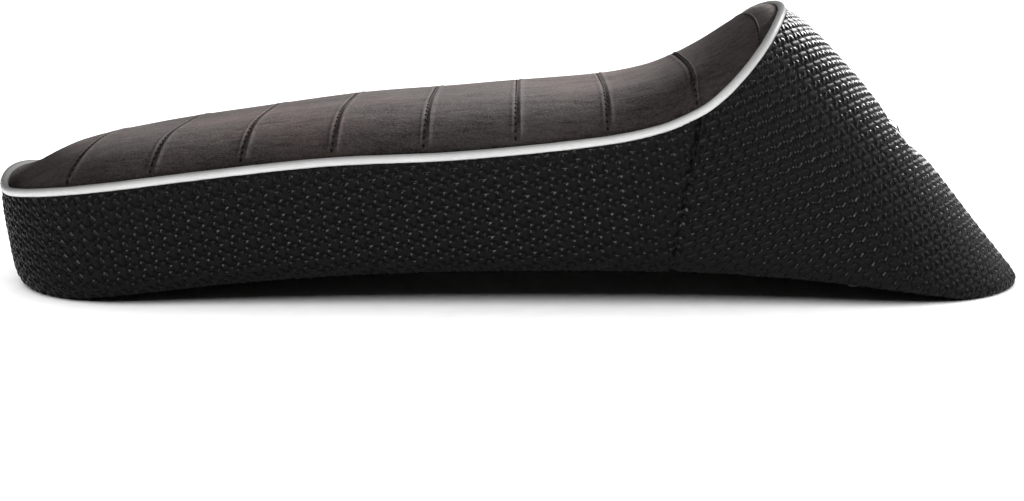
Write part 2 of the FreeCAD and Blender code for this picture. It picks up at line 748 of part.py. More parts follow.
def base_pan():
    """Moulded tray: a plate over a deep rim, with ribs, pads and fixing holes."""
    body = pan_body(PAN_INSET)
    foot = pan_body(PAN_INSET + PAN_STEP)
    hollow = pan_body(PAN_INSET + PAN_RIM)
    pan = body.common(slab(HEM_TOP + PAN_STEP, PLATE_TOP))
    pan = pan.fuse(foot.common(slab(HEM_TOP, PAN_DEPTH)))
    pan = pan.cut(hollow.common(slab(-PAN_DEPTH, PAN_DEPTH)))
    under_plate = hollow.common(slab(PAN_DEPTH - RIB_DEPTH, PAN_DEPTH))
    deep = HEM_TOP + ARCH_HEIGHT + PLATE_TOP
    first = ARCH_CENTRE - RIB_PITCH * (RIB_COUNT - 1) / 2
    for k in range(RIB_COUNT):
        rib = block(first + RIB_PITCH * k, 0, 0, deep, RIB_WIDTH, 2 * BASE_HALF_WIDTH)
        pan = pan.fuse(rib.common(under_plate))
    pads = [
        block(HINGE_X, 0, HINGE_Z, deep, HINGE_LENGTH + PAD_MARGIN, HINGE_WIDTH + PAD_MARGIN),
        block(CATCH_X, 0, CATCH_Z, deep, CATCH_LENGTH + PAD_MARGIN, CATCH_WIDTH + PAD_MARGIN),
    ]
    for x in BUFFER_XS.values():
        pads += [drum(x, y, buffer_seat(x), deep, BUFFER_RADIUS + PAD_MARGIN) for y in BUFFER_YS.values()]
    below_plate = slab(-PAN_DEPTH, PAN_DEPTH + PAN_PLATE / 2)
    for pad in pads:
        pan = pan.fuse(pad.common(below_plate))
    holes = []
    for x, y, z in HINGE_BOLTS + CATCH_BOLTS:
        holes.append(drum(x, y, z - OVERRUN, deep, NUT_BARREL_RADIUS + NUT_FIT))
        holes.append(drum(x, y, nut_seat(x), deep, NUT_FLANGE_RADIUS + NUT_FIT))
    for x in BUFFER_XS.values():
        low, high = buffer_seat(x) - OVERRUN, buffer_seat(x) + SCREW_BITE + OVERRUN
        holes += [drum(x, y, low, high, SCREW_RADIUS + SCREW_FIT) for y in BUFFER_YS.values()]
    for x, y in rivet_places():
        high = arch(x) + VINYL + RIVET_GRIP + OVERRUN
        holes.append(drum(x, y, arch(x), high, RIVET_RADIUS + RIVET_FIT))
    return pan.cut(Part.makeCompound(holes)).removeSplitter()


def hem_holes(cover):
    radius = RIVET_RADIUS + RIVET_FIT
    holes = [drum(x, y, arch(x) - VINYL, arch(x) + 2 * VINYL, radius) for x, y in rivet_places()]
    return cover.cut(Part.makeCompound(holes))


def hem_rivets():
    """Plastic drive rivets: a flat head under the hem and a shank in the rim."""
    rivets = []
    for x, y in rivet_places():
        slope = abs(arch(x + RIVET_HEAD_RADIUS) - arch(x - RIVET_HEAD_RADIUS)) / 2
        seat = arch(x) - slope - RIVET_FIT
        head = drum(x, y, seat - RIVET_HEAD, seat, RIVET_HEAD_RADIUS)
        shank = drum(x, y, seat, arch(x) + VINYL + RIVET_GRIP, RIVET_RADIUS)
        rivets.append(head.fuse(shank).removeSplitter())
    return Part.makeCompound(rivets)


def bolts(places):
    """Hexagon bolts, heads under the bracket and shanks up through it into the nuts."""
    made = []
    for x, y, z in places:
        under = z - BRACKET_SHEET
        head = hexagon(x, y, under - BOLT_HEAD, under, BOLT_HEAD_FLATS)
        shank = drum(x, y, under, nut_seat(x), BOLT_RADIUS)
        made.append(head.fuse(shank))
    return Part.makeCompound(made)


def nuts(places):
    """Flanged barrel nuts let into the top of the pan."""
    made = []
    for x, y, z in places:
        seat = nut_seat(x)
        barrel = drum(x, y, z + NUT_FIT, seat, NUT_BARREL_RADIUS)
        flange = drum(x, y, seat, seat + NUT_FLANGE, NUT_FLANGE_RADIUS)
        bore = drum(x, y, z - OVERRUN, seat + NUT_FLANGE + OVERRUN, BOLT_RADIUS + NUT_FIT)
        made.append(barrel.fuse(flange).removeSplitter().cut(bore))
    return Part.makeCompound(made)


def bracket_plate(x, z, length, width, places):
    plate = block(x, 0, z - BRACKET_SHEET, z, length, width)
    low, high = z - BRACKET_SHEET - OVERRUN, z + OVERRUN
    holes = [drum(px, py, low, high, BOLT_RADIUS + BOLT_FIT) for px, py, _ in places]
    return plate.cut(Part.makeCompound(holes))


def hinge_bracket():
    """Pressed plate with two ears that take the scooter's hinge pin."""
    plate = bracket_plate(HINGE_X, HINGE_Z, HINGE_LENGTH, HINGE_WIDTH, HINGE_BOLTS)
    pin_z = HINGE_Z - BRACKET_SHEET - HINGE_EAR_DROP + HINGE_EAR_RADIUS
    for side in (-1, 1):
        y = side * (HINGE_EAR_GAP + BRACKET_SHEET) / 2 - BRACKET_SHEET / 2
        web = Part.makeBox(
            2 * HINGE_EAR_RADIUS, BRACKET_SHEET, HINGE_Z - BRACKET_SHEET - pin_z,
            Vector(HINGE_X - HINGE_EAR_RADIUS, y, pin_z),
        )
        centre = Vector(HINGE_X, y, pin_z)
        round_end = Part.makeCylinder(HINGE_EAR_RADIUS, BRACKET_SHEET, centre, Vector(0, 1, 0))
        plate = plate.fuse([web, round_end])
    pin = Part.makeCylinder(
        HINGE_BORE_RADIUS, HINGE_WIDTH, Vector(HINGE_X, -HINGE_WIDTH / 2, pin_z), Vector(0, 1, 0)
    )
    return plate.cut(pin).removeSplitter()


def catch_striker():
    """Plate with the bent rod that the scooter's lock closes on."""
    plate = bracket_plate(CATCH_X, CATCH_Z, CATCH_LENGTH, CATCH_WIDTH, CATCH_BOLTS)
    top = CATCH_Z - BRACKET_SHEET
    low = top - STRIKER_DROP
    bend = 2 * STRIKER_RADIUS
    half = STRIKER_SPREAD / 2
    middle = bend * (1 - math.sqrt(0.5))
    points = [
        Vector(CATCH_X, -half, top), Vector(CATCH_X, -half, low + bend),
        Vector(CATCH_X, -half + middle, low + middle), Vector(CATCH_X, -half + bend, low),
        Vector(CATCH_X, half - bend, low), Vector(CATCH_X, half - middle, low + middle),
        Vector(CATCH_X, half, low + bend), Vector(CATCH_X, half, top),
    ]
    path = Part.Wire([
        Part.makeLine(points[0], points[1]), Part.Arc(points[1], points[2], points[3]).toShape(),
        Part.makeLine(points[3], points[4]), Part.Arc(points[4], points[5], points[6]).toShape(),
        Part.makeLine(points[6], points[7]),
    ])
    section = Part.Wire(Part.makeCircle(STRIKER_RADIUS, points[0], Vector(0, 0, 1)))
    return plate.fuse(path.makePipeShell([section], True, False)).removeSplitter()


def buffer(x, y):
    """Tapered rubber foot with a recess for its screw."""
    seat = buffer_seat(x)
    foot = seat - BUFFER_HEIGHT
    body = Part.makeCone(BUFFER_RADIUS - BUFFER_TAPER, BUFFER_RADIUS, BUFFER_HEIGHT, Vector(x, y, foot))
    recess = drum(x, y, foot - OVERRUN, foot + BUFFER_RECESS, BUFFER_RECESS_RADIUS)
    return body.cut([recess, drum(x, y, foot, seat + OVERRUN, BUFFER_BORE_RADIUS)])


def buffer_screws():
    """Pan-head screws up through the buffers into their pads."""
    made = []
    for x in BUFFER_XS.values():
        seat = buffer_seat(x)
        under = seat - BUFFER_HEIGHT + BUFFER_RECESS
        for y in BUFFER_YS.values():
            head = drum(x, y, under - SCREW_HEAD, under, SCREW_HEAD_RADIUS)
            made.append(head.fuse(drum(x, y, under, seat + SCREW_BITE, SCREW_RADIUS)))
    return Part.makeCompound(made)


def badge_place(height):
    """Point on the badge's axis, a set height above the cover's skin in the dent."""
    skin = BADGE_SEAT + BADGE_AXIS * (wall_swell(1, BADGE_SHARE) - DENT_DEPTH)
    return skin + BADGE_AXIS * height


def badge_rod(radius, low, high):
    return Part.makeCylinder(radius, high - low, badge_place(low), BADGE_AXIS)


def rear_badge():
    """Bright round plate with a low dome and a stud behind it."""
    plate = badge_rod(BADGE_RADIUS, BADGE_FIT, BADGE_FIT + BADGE_PLATE)
    rim = [edge for edge in plate.Edges if edge.Curve.TypeId == "Part::GeomCircle"]
    top_rim = max(rim, key=lambda edge: edge.CenterOfMass.dot(BADGE_AXIS))
    plate = plate.makeFillet(BADGE_PLATE / 2, [top_rim])
    ball = (BADGE_DOME_RADIUS**2 + BADGE_DOME**2) / (2 * BADGE_DOME)
    top = BADGE_FIT + BADGE_PLATE
    dome = Part.makeSphere(ball, badge_place(top + BADGE_DOME - ball))
    dome = dome.common(badge_rod(BADGE_DOME_RADIUS, top - BADGE_PLATE / 2, top + BADGE_DOME))
    stud = badge_rod(BADGE_STUD_RADIUS, -BADGE_STUD, BADGE_FIT)
    return plate.fuse([dome, stud])


def badge_washer():
    low = -VINYL - WASHER_GAP - WASHER
    washer = badge_rod(WASHER_RADIUS, low, low + WASHER)
    return washer.cut(badge_rod(BADGE_STUD_RADIUS + BADGE_FIT, low - OVERRUN, low + WASHER + OVERRUN))


def badge_nut():
    high = -VINYL - WASHER_GAP - WASHER
    nut = hexagon(0, 0, high - BADGE_NUT, high, BADGE_NUT_FLATS)
    nut = nut.cut(drum(0, 0, high - BADGE_NUT - OVERRUN, high + OVERRUN, BADGE_STUD_RADIUS + NUT_FIT))
    turn = FreeCAD.Rotation(Vector(0, 0, 1), BADGE_AXIS)
    nut.Placement = FreeCAD.Placement(badge_place(0), turn)
    return nut


def sub_parts():
    """Every piece of the seat by name."""
    parts = {
        "base_pan": base_pan(),
        "foam_core": foam_core(),
        "top_cover": top_cover(),
        "side_band": hem_holes(side_band()),
        "tail_cover": hem_holes(tail_cover()),
        "piping": piping(),
        "hem_rivets": hem_rivets(),
        "hinge_bracket": hinge_bracket(),
        "hinge_bolts": bolts(HINGE_BOLTS),
        "hinge_nuts": nuts(HINGE_BOLTS),
        "catch_striker": catch_striker(),
        "catch_bolts": bolts(CATCH_BOLTS),
        "catch_nuts": nuts(CATCH_BOLTS),
        "buffer_screws": buffer_screws(),
        "rear_badge": rear_badge(),
        "badge_washer": badge_washer(),
        "badge_nut": badge_nut(),
    }
    for end, x in BUFFER_XS.items():
        for side, y in BUFFER_YS.items():
            parts[f"buffer_{end}_{side}"] = buffer(x, y)
    return parts


os.makedirs("parts", exist_ok=True)
for name, shape in sub_parts().items():
    box = shape.optimalBoundingBox(True, False)
    print(
        f"{name}: valid {shape.isValid()}, solids {len(shape.Solids)}, {shape.Volume / 1000:.1f} cm3,"
        f" x {box.XMin:.1f} {box.XMax:.1f}, y {box.YMin:.1f} {box.YMax:.1f}, z {box.ZMin:.1f} {box.ZMax:.1f}"
    )
    shape.exportStep(f"parts/{name}.step")
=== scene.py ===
"""Looks of a slope-back scooter seat over its CAD frame. X from nose to tail, Y across, Z up."""

import math

import bpy
import numpy as np
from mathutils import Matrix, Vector


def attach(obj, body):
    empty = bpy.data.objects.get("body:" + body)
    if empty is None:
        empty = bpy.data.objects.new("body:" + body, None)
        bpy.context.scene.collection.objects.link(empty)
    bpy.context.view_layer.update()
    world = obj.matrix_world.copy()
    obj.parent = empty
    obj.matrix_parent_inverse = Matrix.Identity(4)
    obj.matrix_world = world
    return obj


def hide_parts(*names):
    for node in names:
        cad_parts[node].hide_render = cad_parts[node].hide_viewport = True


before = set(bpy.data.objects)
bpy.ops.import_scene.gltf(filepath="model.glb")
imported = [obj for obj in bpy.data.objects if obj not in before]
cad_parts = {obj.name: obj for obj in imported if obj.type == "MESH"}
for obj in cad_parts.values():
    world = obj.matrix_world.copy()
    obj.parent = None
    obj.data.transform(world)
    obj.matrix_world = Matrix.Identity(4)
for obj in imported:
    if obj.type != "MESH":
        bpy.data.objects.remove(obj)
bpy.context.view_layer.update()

bl_info = {
    "name": "Scooter seat looks",
    "version": (1, 0, 0),
    "blender": (4, 5, 0),
    "location": "View3D > Sidebar > Seat",
    "description": "Builds the covers, welt, stitching and finishes of a slope-back scooter seat",
    "category": "Object",
}

MM = 0.001

# Overall form of the seat, in millimetres
SEAT_LENGTH = 774.0
HALF_WIDTH = 120.0
BASE_HALF_WIDTH = 114.0
NOSE_LENGTH = 134.0
NOSE_POWER = 2.3
NOSE_RAKE = 8.0
NOSE_LIFT = 9.0
NOSE_LIFT_HALF_WIDTH = 75.0
NOSE_HEIGHT = 71.0
HUMP_FROM_TAIL = 259.0
HUMP_FOOT_HEIGHT = 138.5
HUMP_LENGTH = 70.0
CREST_HEIGHT = 203.5
TAIL_ROUND = 150.0
TAIL_POWER = 2.4
TAIL_ROUNDING = 4.3
SEAM_LEAN = 16.0
WALL_BULGE = 3.0
BULGE_POWER = 4
TAIL_SWELL = [(0.0, 0.0), (0.07, 6.0), (0.2, 7.6), (0.48, 7.4), (0.68, 4.6), (0.8, 2.4), (1.0, 0.0)]

# Arched lower edge
ARCH_HEIGHT = 25.5
ARCH_FROM_NOSE = 71.0
ARCH_FROM_TAIL = 62.0
ARCH_PEAK_FROM_TAIL = 342.0
ARCH_POWER = 2.35
ARCH_SOFTNESS = 0.06

# Side line of the welt and crown of the cushion
EDGE_RISE = [
    (0.0, 0.0), (0.13, 0.14), (0.32, 0.33), (0.5, 0.48), (0.68, 0.55), (0.87, 0.7), (0.95, 0.83),
]
HUMP_RISE = [(0.0, 0.0), (0.2, 0.155), (0.43, 0.385), (0.67, 0.655), (0.86, 0.88), (1.0, 1.0)]
CROWN_LINE = [
    (0.0, 6.0), (0.03, 10.0), (0.06, 17.0), (0.1, 22.0), (0.2, 24.5), (0.4, 27.0), (0.7, 32.0), (0.9, 29.0),
    (1.0, 26.0), (1.06, 20.0), (1.2, 12.0),
]
CROWN_POWER = 4.0

# Covers, welt and seams
PIPING_RADIUS = 3.0
PIPING_ROOM = 3.4
FIRST_CHANNEL = 74.0
CHANNEL_PITCH = 63.5
CHANNEL_COUNT = 9
HEM_BEND = 12.0
HEM_WIDTH = 26.0
TAIL_HEM_BEND = 16.0
TAIL_HEM_WIDTH = 62.0
WALL_ROWS = 18
HEM_ROWS = 4
END_BLEND = 60.0
LOOP_STEP = 0.004
CHANNEL_STEP = 0.0005

# Dent of the badge
BADGE_SHARE = 0.465
DENT_DEPTH = 5.0
DENT_FLAT_RADIUS = 22.0
DENT_RADIUS = 31.0
DENT_STRETCH = 1.8

# Derived places along the seat
START_X = (TAIL_ROUNDING - SEAT_LENGTH) / 2
NOSE_X = START_X + PIPING_RADIUS
TAIL_X = START_X + SEAT_LENGTH
NOSE_ROOT = NOSE_X + NOSE_LENGTH
HUMP_ROOT = TAIL_X - HUMP_FROM_TAIL
SEAM_FOOT = HUMP_ROOT - SEAM_LEAN
TAIL_ROOT = TAIL_X - TAIL_ROUND
ARCH_NEAR = START_X + ARCH_FROM_NOSE
ARCH_FAR = TAIL_X - ARCH_FROM_TAIL
ARCH_PEAK = TAIL_X - ARCH_PEAK_FROM_TAIL

# Shares of the half loop from nose centre to tail centre
ROUND_FACTOR = 0.83
NOSE_ARC = ROUND_FACTOR * (NOSE_LENGTH + HALF_WIDTH)
FLANK_RUN = HUMP_ROOT - NOSE_ROOT
TAIL_STRAIGHT = TAIL_ROOT - SEAM_FOOT
TAIL_ARC = ROUND_FACTOR * (TAIL_ROUND + BASE_HALF_WIDTH)
HALF_LOOP = NOSE_ARC + FLANK_RUN + TAIL_STRAIGHT + TAIL_ARC
NOSE_END = NOSE_ARC / HALF_LOOP
FLANK_END = (NOSE_ARC + FLANK_RUN) / HALF_LOOP
TAIL_SPLIT = TAIL_STRAIGHT / (TAIL_STRAIGHT + TAIL_ARC)
NOSE_CORNER = NOSE_END / 3
CREST_CORNER = FLANK_END + (1 - FLANK_END) * 2 / 3
RIGHT_ANGLE = math.pi / 2

# Embossed weave: pitch along a row, gap between rows, and the row's direction on each cover
WEAVE_PITCH = 5.1
WEAVE_ROW_GAP = 4.7
BAND_ROW_ANGLE = -82.0
TAIL_ROW_ANGLE = 20.0

# Bumps of the weave: half length, half width and height against the tallest
BEVEL = 1.5
STRAP_REACH = 4.8
STRAP_HALF_WIDTH = 2.3
STRAP_RISE = 0.8
LEAF_REACH = 2.9
LEAF_HALF_WIDTH = 1.9
LEAF_LEAN = 34.0
OVAL_REACH = 2.4
OVAL_HALF_WIDTH = 2.8
OVAL_RISE = 0.95

# How much more crisply than the mesh the bumps are shaded on each cover
BAND_CRISPNESS = 1.7
TAIL_CRISPNESS = 1.2

# Dips and puckers of the side covers by their seams
SEAM_DIP_WIDTH = 2.5
PUCKER_HEIGHT = 0.35
PUCKER_FADE = 7.0
PUCKER_WAVE = 0.75
PUCKER_DRIFT = 1.3
PUCKER_DRIFT_WAVE = 0.21

# Sewn cross seams: the groove, each ridge's place, width and share of height, and the tuck by the welt
GROOVE_WIDTH = 1.1
SEAM_RIDGES = [(3.3, 1.3, 1.0), (-2.7, 1.1, 0.45)]
SEAM_FADE = 5.0
TUCK_DEPTH = 1.6
TUCK_WIDTH = 2.2

# Stitches: half length as a share of the pitch, half width, half height, and how they lie in the groove
STITCH_LENGTH_SHARE = 0.24
STITCH_HALF_WIDTH = 0.85
STITCH_HALF_HEIGHT = 0.45
STITCH_PROUD = 0.15
STITCHED_SHARE = 0.985

# Slight waviness of the welt's thickness
WELT_WAVINESS = 0.02
WELT_WAVES = (0.37, 0.113)

# Least height of the covers, whose bumps are pressed flat where they lie on the ground
GROUND_GAP = 0.06

# Fineness of the meshes
RAIL_SAMPLES = 400
SECTION_STEPS = 200
SPACED_SHARE = 0.6
ROW_PERCENTILE = 70
FOOT_OVERRUN = 4
HEM_COLUMNS = 8
TOP_ROWS = 150
TOP_COLUMNS = 161
TOP_COLUMN_ARC = RIGHT_ANGLE * 0.8
ROWS_OFF_SEAM = [0.4, 0.9, 1.4, 2, 2.6, 3.2, 3.9, 5, 7]
WELT_SAMPLES = 4001
WELT_RINGS = 1000
WELT_SIDES = 18
STITCH_RINGS = 5
STITCH_SEGMENTS = 6

# Camera: place and lens in metres and millimetres, downward tilt and turn in radians
CAMERA_PLACE = (0.01068, -1.06536, 0.25923)
CAMERA_TILT = 0.22604
CAMERA_TURN = 0.00909
CAMERA_LENS = 49.2
CAMERA_SENSOR = 36.0

# Floor and world
FLOOR_REACH = 8.0
WORLD_STRENGTH = 0.04


def ease(value):
    t = np.clip(value, 0, 1)
    return t * t * (3 - 2 * t)


def smooth_line(points, x):
    """Heights at x on a smooth curve through points, each an (x, height) pair."""
    px, ph = np.array(points, float).T
    last = len(px) - 1
    x = np.clip(x, px[0], px[-1])
    i = np.clip(np.searchsorted(px, x) - 1, 0, last - 1)
    before, after = np.maximum(np.arange(last + 1) - 1, 0), np.minimum(np.arange(last + 1) + 1, last)
    slope = (ph[after] - ph[before]) / (px[after] - px[before])
    run = px[i + 1] - px[i]
    t = (x - px[i]) / run
    return (
        ph[i] * (1 + 2 * t) * (1 - t) ** 2
        + ph[i + 1] * t * t * (3 - 2 * t)
        + run * t * (1 - t) * (slope[i] * (1 - t) - slope[i + 1] * t)
    )


def rounded_end(angle, length, half_width, power):
    c, s = np.abs(np.cos(angle)), np.abs(np.sin(angle))
    reach = (c**power + s**power) ** (-1 / power)
    return length * reach * s, half_width * reach * c


def arch(x):
    """Height of the lower edge at x."""
    reach = np.where(x > ARCH_PEAK, ARCH_FAR - ARCH_PEAK, ARCH_NEAR - ARCH_PEAK)
    rise = 1 - np.abs((x - ARCH_PEAK) / reach) ** ARCH_POWER
    return ARCH_HEIGHT * (rise + np.sqrt(rise**2 + ARCH_SOFTNESS**2)) / 2


EDGE_POINTS = [
    (NOSE_X + share * (HUMP_ROOT - NOSE_X), NOSE_HEIGHT + rise * (HUMP_FOOT_HEIGHT - NOSE_HEIGHT))
    for share, rise in EDGE_RISE
] + [
    (HUMP_ROOT + share * HUMP_LENGTH, HUMP_FOOT_HEIGHT + rise * (CREST_HEIGHT - HUMP_FOOT_HEIGHT))
    for share, rise in HUMP_RISE
]
CROWN_POINTS = [(NOSE_X + share * (HUMP_ROOT - NOSE_X), rise) for share, rise in CROWN_LINE]


def edge_height(x, y):
    """Height of the welt's centre line."""
    near_nose = np.clip((NOSE_ROOT - x) / NOSE_LENGTH, 0, 1) ** 2
    across = np.clip(1 - (y / NOSE_LIFT_HALF_WIDTH) ** 2, 0, 1) ** 2
    return smooth_line(EDGE_POINTS, x) + NOSE_LIFT * near_nose * across


def unfold(loop):
    """Share of the half loop and side of the seat for places on the loop: 0 nose, 1 tail."""
    loop = np.where(loop < -1, loop + 2, loop)
    share = np.where(loop < 0, -loop, np.where(loop > 1, 2 - loop, loop))
    return share, np.where((loop < 0) | (loop > 1), -1.0, 1.0)


def edge_plan(loop, inset=0.0):
    """Plan of the welt's loop, or of a line a set distance inside it."""
    share, side = unfold(loop)
    half = HALF_WIDTH - inset
    nose = RIGHT_ANGLE * (1 - np.clip(share / NOSE_END, 0, 1))
    nose_x, nose_y = rounded_end(nose, NOSE_LENGTH - inset, half, NOSE_POWER)
    hump = RIGHT_ANGLE * np.clip((share - FLANK_END) / (1 - FLANK_END), 0, 1)
    hump_x, hump_y = rounded_end(hump, HUMP_LENGTH - inset, half, 2)
    flank = NOSE_ROOT + (share - NOSE_END) / (FLANK_END - NOSE_END) * FLANK_RUN
    places = [share <= NOSE_END, share <= FLANK_END]
    x = np.select(places, [NOSE_ROOT - nose_x, flank], HUMP_ROOT + hump_x)
    y = np.select(places, [nose_y, half + 0 * share], hump_y)
    return x, side * y


def base_plan(loop):
    """Plan of the seat's lower edge."""
    share, side = unfold(loop)
    nose = RIGHT_ANGLE * (1 - np.clip(share / NOSE_END, 0, 1))
    nose_x, nose_y = rounded_end(nose, NOSE_LENGTH - NOSE_RAKE, BASE_HALF_WIDTH, NOSE_POWER)
    flank = NOSE_ROOT + (share - NOSE_END) / (FLANK_END - NOSE_END) * (SEAM_FOOT - NOSE_ROOT)
    run = (share - FLANK_END) / (1 - FLANK_END)
    hump = SEAM_FOOT + run / TAIL_SPLIT * TAIL_STRAIGHT
    tail = RIGHT_ANGLE * np.clip((run - TAIL_SPLIT) / (1 - TAIL_SPLIT), 0, 1)
    tail_x, tail_y = rounded_end(tail, TAIL_ROUND, BASE_HALF_WIDTH, TAIL_POWER)
    places = [share <= NOSE_END, share <= FLANK_END, run <= TAIL_SPLIT]
    straight = BASE_HALF_WIDTH + 0 * share
    x = np.select(places, [NOSE_ROOT - nose_x, flank, hump], TAIL_ROOT + tail_x)
    y = np.select(places, [nose_y, straight, straight], tail_y)
    return x, side * y


def unit(vectors):
    return vectors / np.maximum(np.linalg.norm(vectors, axis=-1, keepdims=True), 1e-9)


def edge_point(loop):
    x, y = edge_plan(loop)
    return np.stack([x, y, edge_height(x, y)], -1)


def base_point(loop):
    x, y = base_plan(loop)
    return np.stack([x, y, arch(x)], -1)


def base_inward(loop):
    """Level direction from the lower edge towards the middle of the seat."""
    along = base_point(loop + LOOP_STEP) - base_point(loop - LOOP_STEP)
    return unit(np.stack([along[..., 1], -along[..., 0], 0 * along[..., 0]], -1))


def straight_wall(loop, share):
    top = edge_point(loop)
    return top + (base_point(loop) - top) * share[..., None]


def wall_normal(loop, share):
    """Outward normal of the wall between the welt and the lower edge."""
    along = straight_wall(loop + LOOP_STEP, share) - straight_wall(loop - LOOP_STEP, share)
    return unit(np.cross(along, base_point(loop) - edge_point(loop)))


def tail_blend(loop, flank, tail):
    """Value that goes from its flank size to its tail size behind the side seam."""
    share, _ = unfold(loop)
    return flank + (tail - flank) * ease((share - FLANK_END) / (1 - FLANK_END))


def wall(loop, share):
    """Points on the padded wall, with the dent for the badge."""
    point = straight_wall(loop, share)
    flank = WALL_BULGE * (1 - np.abs(2 * share - 1) ** BULGE_POWER)
    swell = tail_blend(loop, flank, smooth_line(TAIL_SWELL, share))
    seat = straight_wall(np.array(1.0), np.array(BADGE_SHARE))
    reach = np.linalg.norm((point - seat) / (1, DENT_STRETCH, 1), axis=-1)
    dent = DENT_DEPTH * (1 - ease((reach - DENT_FLAT_RADIUS) / (DENT_RADIUS - DENT_FLAT_RADIUS)))
    return point + wall_normal(loop, share) * (swell - dent)[..., None]


def spread(count):
    """Places from 0 to 1 for the poles of a clamped cubic."""
    spans = count - 3
    knots = np.array([0] * 3 + list(range(spans + 1)) + [spans] * 3, float)
    return np.array([knots[i + 1 : i + 4].mean() for i in range(count)]) / spans


def cubic_weights(count, places):
    """Weight of each pole of a clamped cubic at places from 0 to 1."""
    spans = count - 3
    knots = np.array([0] * 3 + list(range(spans + 1)) + [spans] * 3, float)
    t = places[:, None] * spans
    weights = ((t >= knots[:-1]) & (t < knots[1:])).astype(float)
    weights[places >= 1, count - 1] = 1
    for degree in (1, 2, 3):
        size = len(knots) - 1 - degree
        low, high = knots[:size], knots[degree : degree + size]
        next_low, next_high = knots[1 : 1 + size], knots[degree + 1 : degree + 1 + size]
        rise = (t - low) / np.where(high > low, high - low, np.inf)
        fall = (next_high - t) / np.where(next_high > next_low, next_high - next_low, np.inf)
        weights = rise * weights[:, :size] + fall * weights[:, 1 : 1 + size]
    return weights


def wrap_sections(loops, steps):
    """Lines of a side cover, from under the welt, down the wall and round under the pan."""
    foot, inward = base_point(loops), base_inward(loops)
    run = np.linalg.norm(foot - edge_point(loops), axis=-1)
    bend = tail_blend(loops, HEM_BEND, TAIL_HEM_BEND)
    first, last = PIPING_ROOM / run, 1 - bend / run
    shares = first[:, None] + (last - first)[:, None] * spread(WALL_ROWS)
    poles = wall(loops[:, None], shares)
    reach = bend[:, None] + (tail_blend(loops, HEM_WIDTH, TAIL_HEM_WIDTH) - bend)[:, None] * spread(HEM_ROWS)
    hem = foot[:, None] + inward[:, None] * reach[..., None]
    hem[..., 2] = arch(hem[..., 0])
    poles = np.concatenate([poles, foot[:, None], hem], 1)
    return np.einsum("sp,npk->nsk", cubic_weights(poles.shape[1], np.linspace(0, 1, steps)), poles)


def top_height(x, y):
    """Height of the cushion's top over places in plan."""
    nose, hump = x < NOSE_ROOT, x > HUMP_ROOT
    along = np.where(nose, (NOSE_ROOT - x) / NOSE_LENGTH, np.where(hump, (x - HUMP_ROOT) / HUMP_LENGTH, 0))
    power = np.where(nose, NOSE_POWER, 2.0)
    outward = np.clip((along**power + (np.abs(y) / HALF_WIDTH) ** power) ** (1 / power), 0, 1)
    return edge_height(x, y) + smooth_line(CROWN_POINTS, x) * (1 - outward**CROWN_POWER)


def top_points(loops, acrosses):
    """Grid of points on the top cover, rows by loop place and columns across from -1 to 1."""
    loop, across = loops[:, None], acrosses[None, :]
    x, y = edge_plan(loop, PIPING_ROOM)
    front_x, front_y = edge_plan(np.array(NOSE_CORNER), PIPING_ROOM)
    rear_x, rear_y = edge_plan(np.array(CREST_CORNER), PIPING_ROOM)
    half = HALF_WIDTH - PIPING_ROOM
    nose_bow = (NOSE_LENGTH - PIPING_ROOM) * (
        1 - (np.abs(across) * front_y / half) ** NOSE_POWER
    ) ** (1 / NOSE_POWER)
    crest_bow = (HUMP_LENGTH - PIPING_ROOM) * np.sqrt(1 - (across * rear_y / half) ** 2)
    front_fade = np.clip(1 - (x - front_x) / END_BLEND, 0, 1) ** 2
    rear_fade = np.clip(1 - (rear_x - x) / END_BLEND, 0, 1) ** 2
    shift = (HUMP_ROOT + crest_bow - rear_x) * rear_fade - (front_x - NOSE_ROOT + nose_bow) * front_fade
    plan_x, plan_y = np.broadcast_arrays(x + shift, across * y)
    return np.stack([plan_x, plan_y, top_height(plan_x, plan_y)], -1)


def channel_places():
    """Loop places of the sewn seams, a set pitch apart along the welt."""
    loops = np.arange(NOSE_CORNER, CREST_CORNER, CHANNEL_STEP)
    points = edge_point(loops)[:, [0, 2]]
    lengths = np.concatenate([[0], np.cumsum(np.linalg.norm(np.diff(points, axis=0), axis=1))])
    first = FIRST_CHANNEL - (points[0, 0] - START_X)
    return np.interp(first + CHANNEL_PITCH * np.arange(CHANNEL_COUNT), lengths, loops)


def grid_normals(points):
    return unit(np.cross(np.gradient(points, axis=0), np.gradient(points, axis=1)))


def line_lengths(points):
    """Length along each row of points, from its first point."""
    steps = np.linalg.norm(np.diff(points, axis=-2), axis=-1)
    return np.concatenate([np.zeros(steps.shape[:-1] + (1,)), np.cumsum(steps, -1)], -1)


def along_line(places, lengths, line):
    """Points at places along a line whose points lie at lengths."""
    return np.stack([np.interp(places, lengths, line[:, k]) for k in range(3)], -1)


def unrolled(tops, feet, turn):
    """Flat places of two rails of a sheet, laid out strip by strip from the first pair."""
    flat = [(tops[0][[0, 2]], feet[0][[0, 2]])]

    def place(a, b, from_a, from_b):
        chord = b - a
        length = np.linalg.norm(chord)
        along = (from_a**2 - from_b**2 + length**2) / (2 * length)
        off = math.sqrt(max(from_a**2 - along**2, 0.0))
        across = np.array([-chord[1], chord[0]]) / length
        return a + chord / length * along + across * off * turn

    def apart(a, b):
        return np.linalg.norm(a - b)

    for i in range(len(tops) - 1):
        top, foot = flat[-1]
        next_top = place(top, foot, apart(tops[i + 1], tops[i]), apart(tops[i + 1], feet[i]))
        next_foot = place(next_top, foot, apart(feet[i + 1], tops[i + 1]), apart(feet[i + 1], feet[i]))
        flat.append((next_top, next_foot))
    return np.array([f[0] for f in flat]), np.array([f[1] for f in flat])


def bevelled(offset, reach):
    """Height along a bump that is flat on top and bevelled at both ends."""
    return np.clip((reach - np.abs(offset)) / BEVEL, 0, 1)


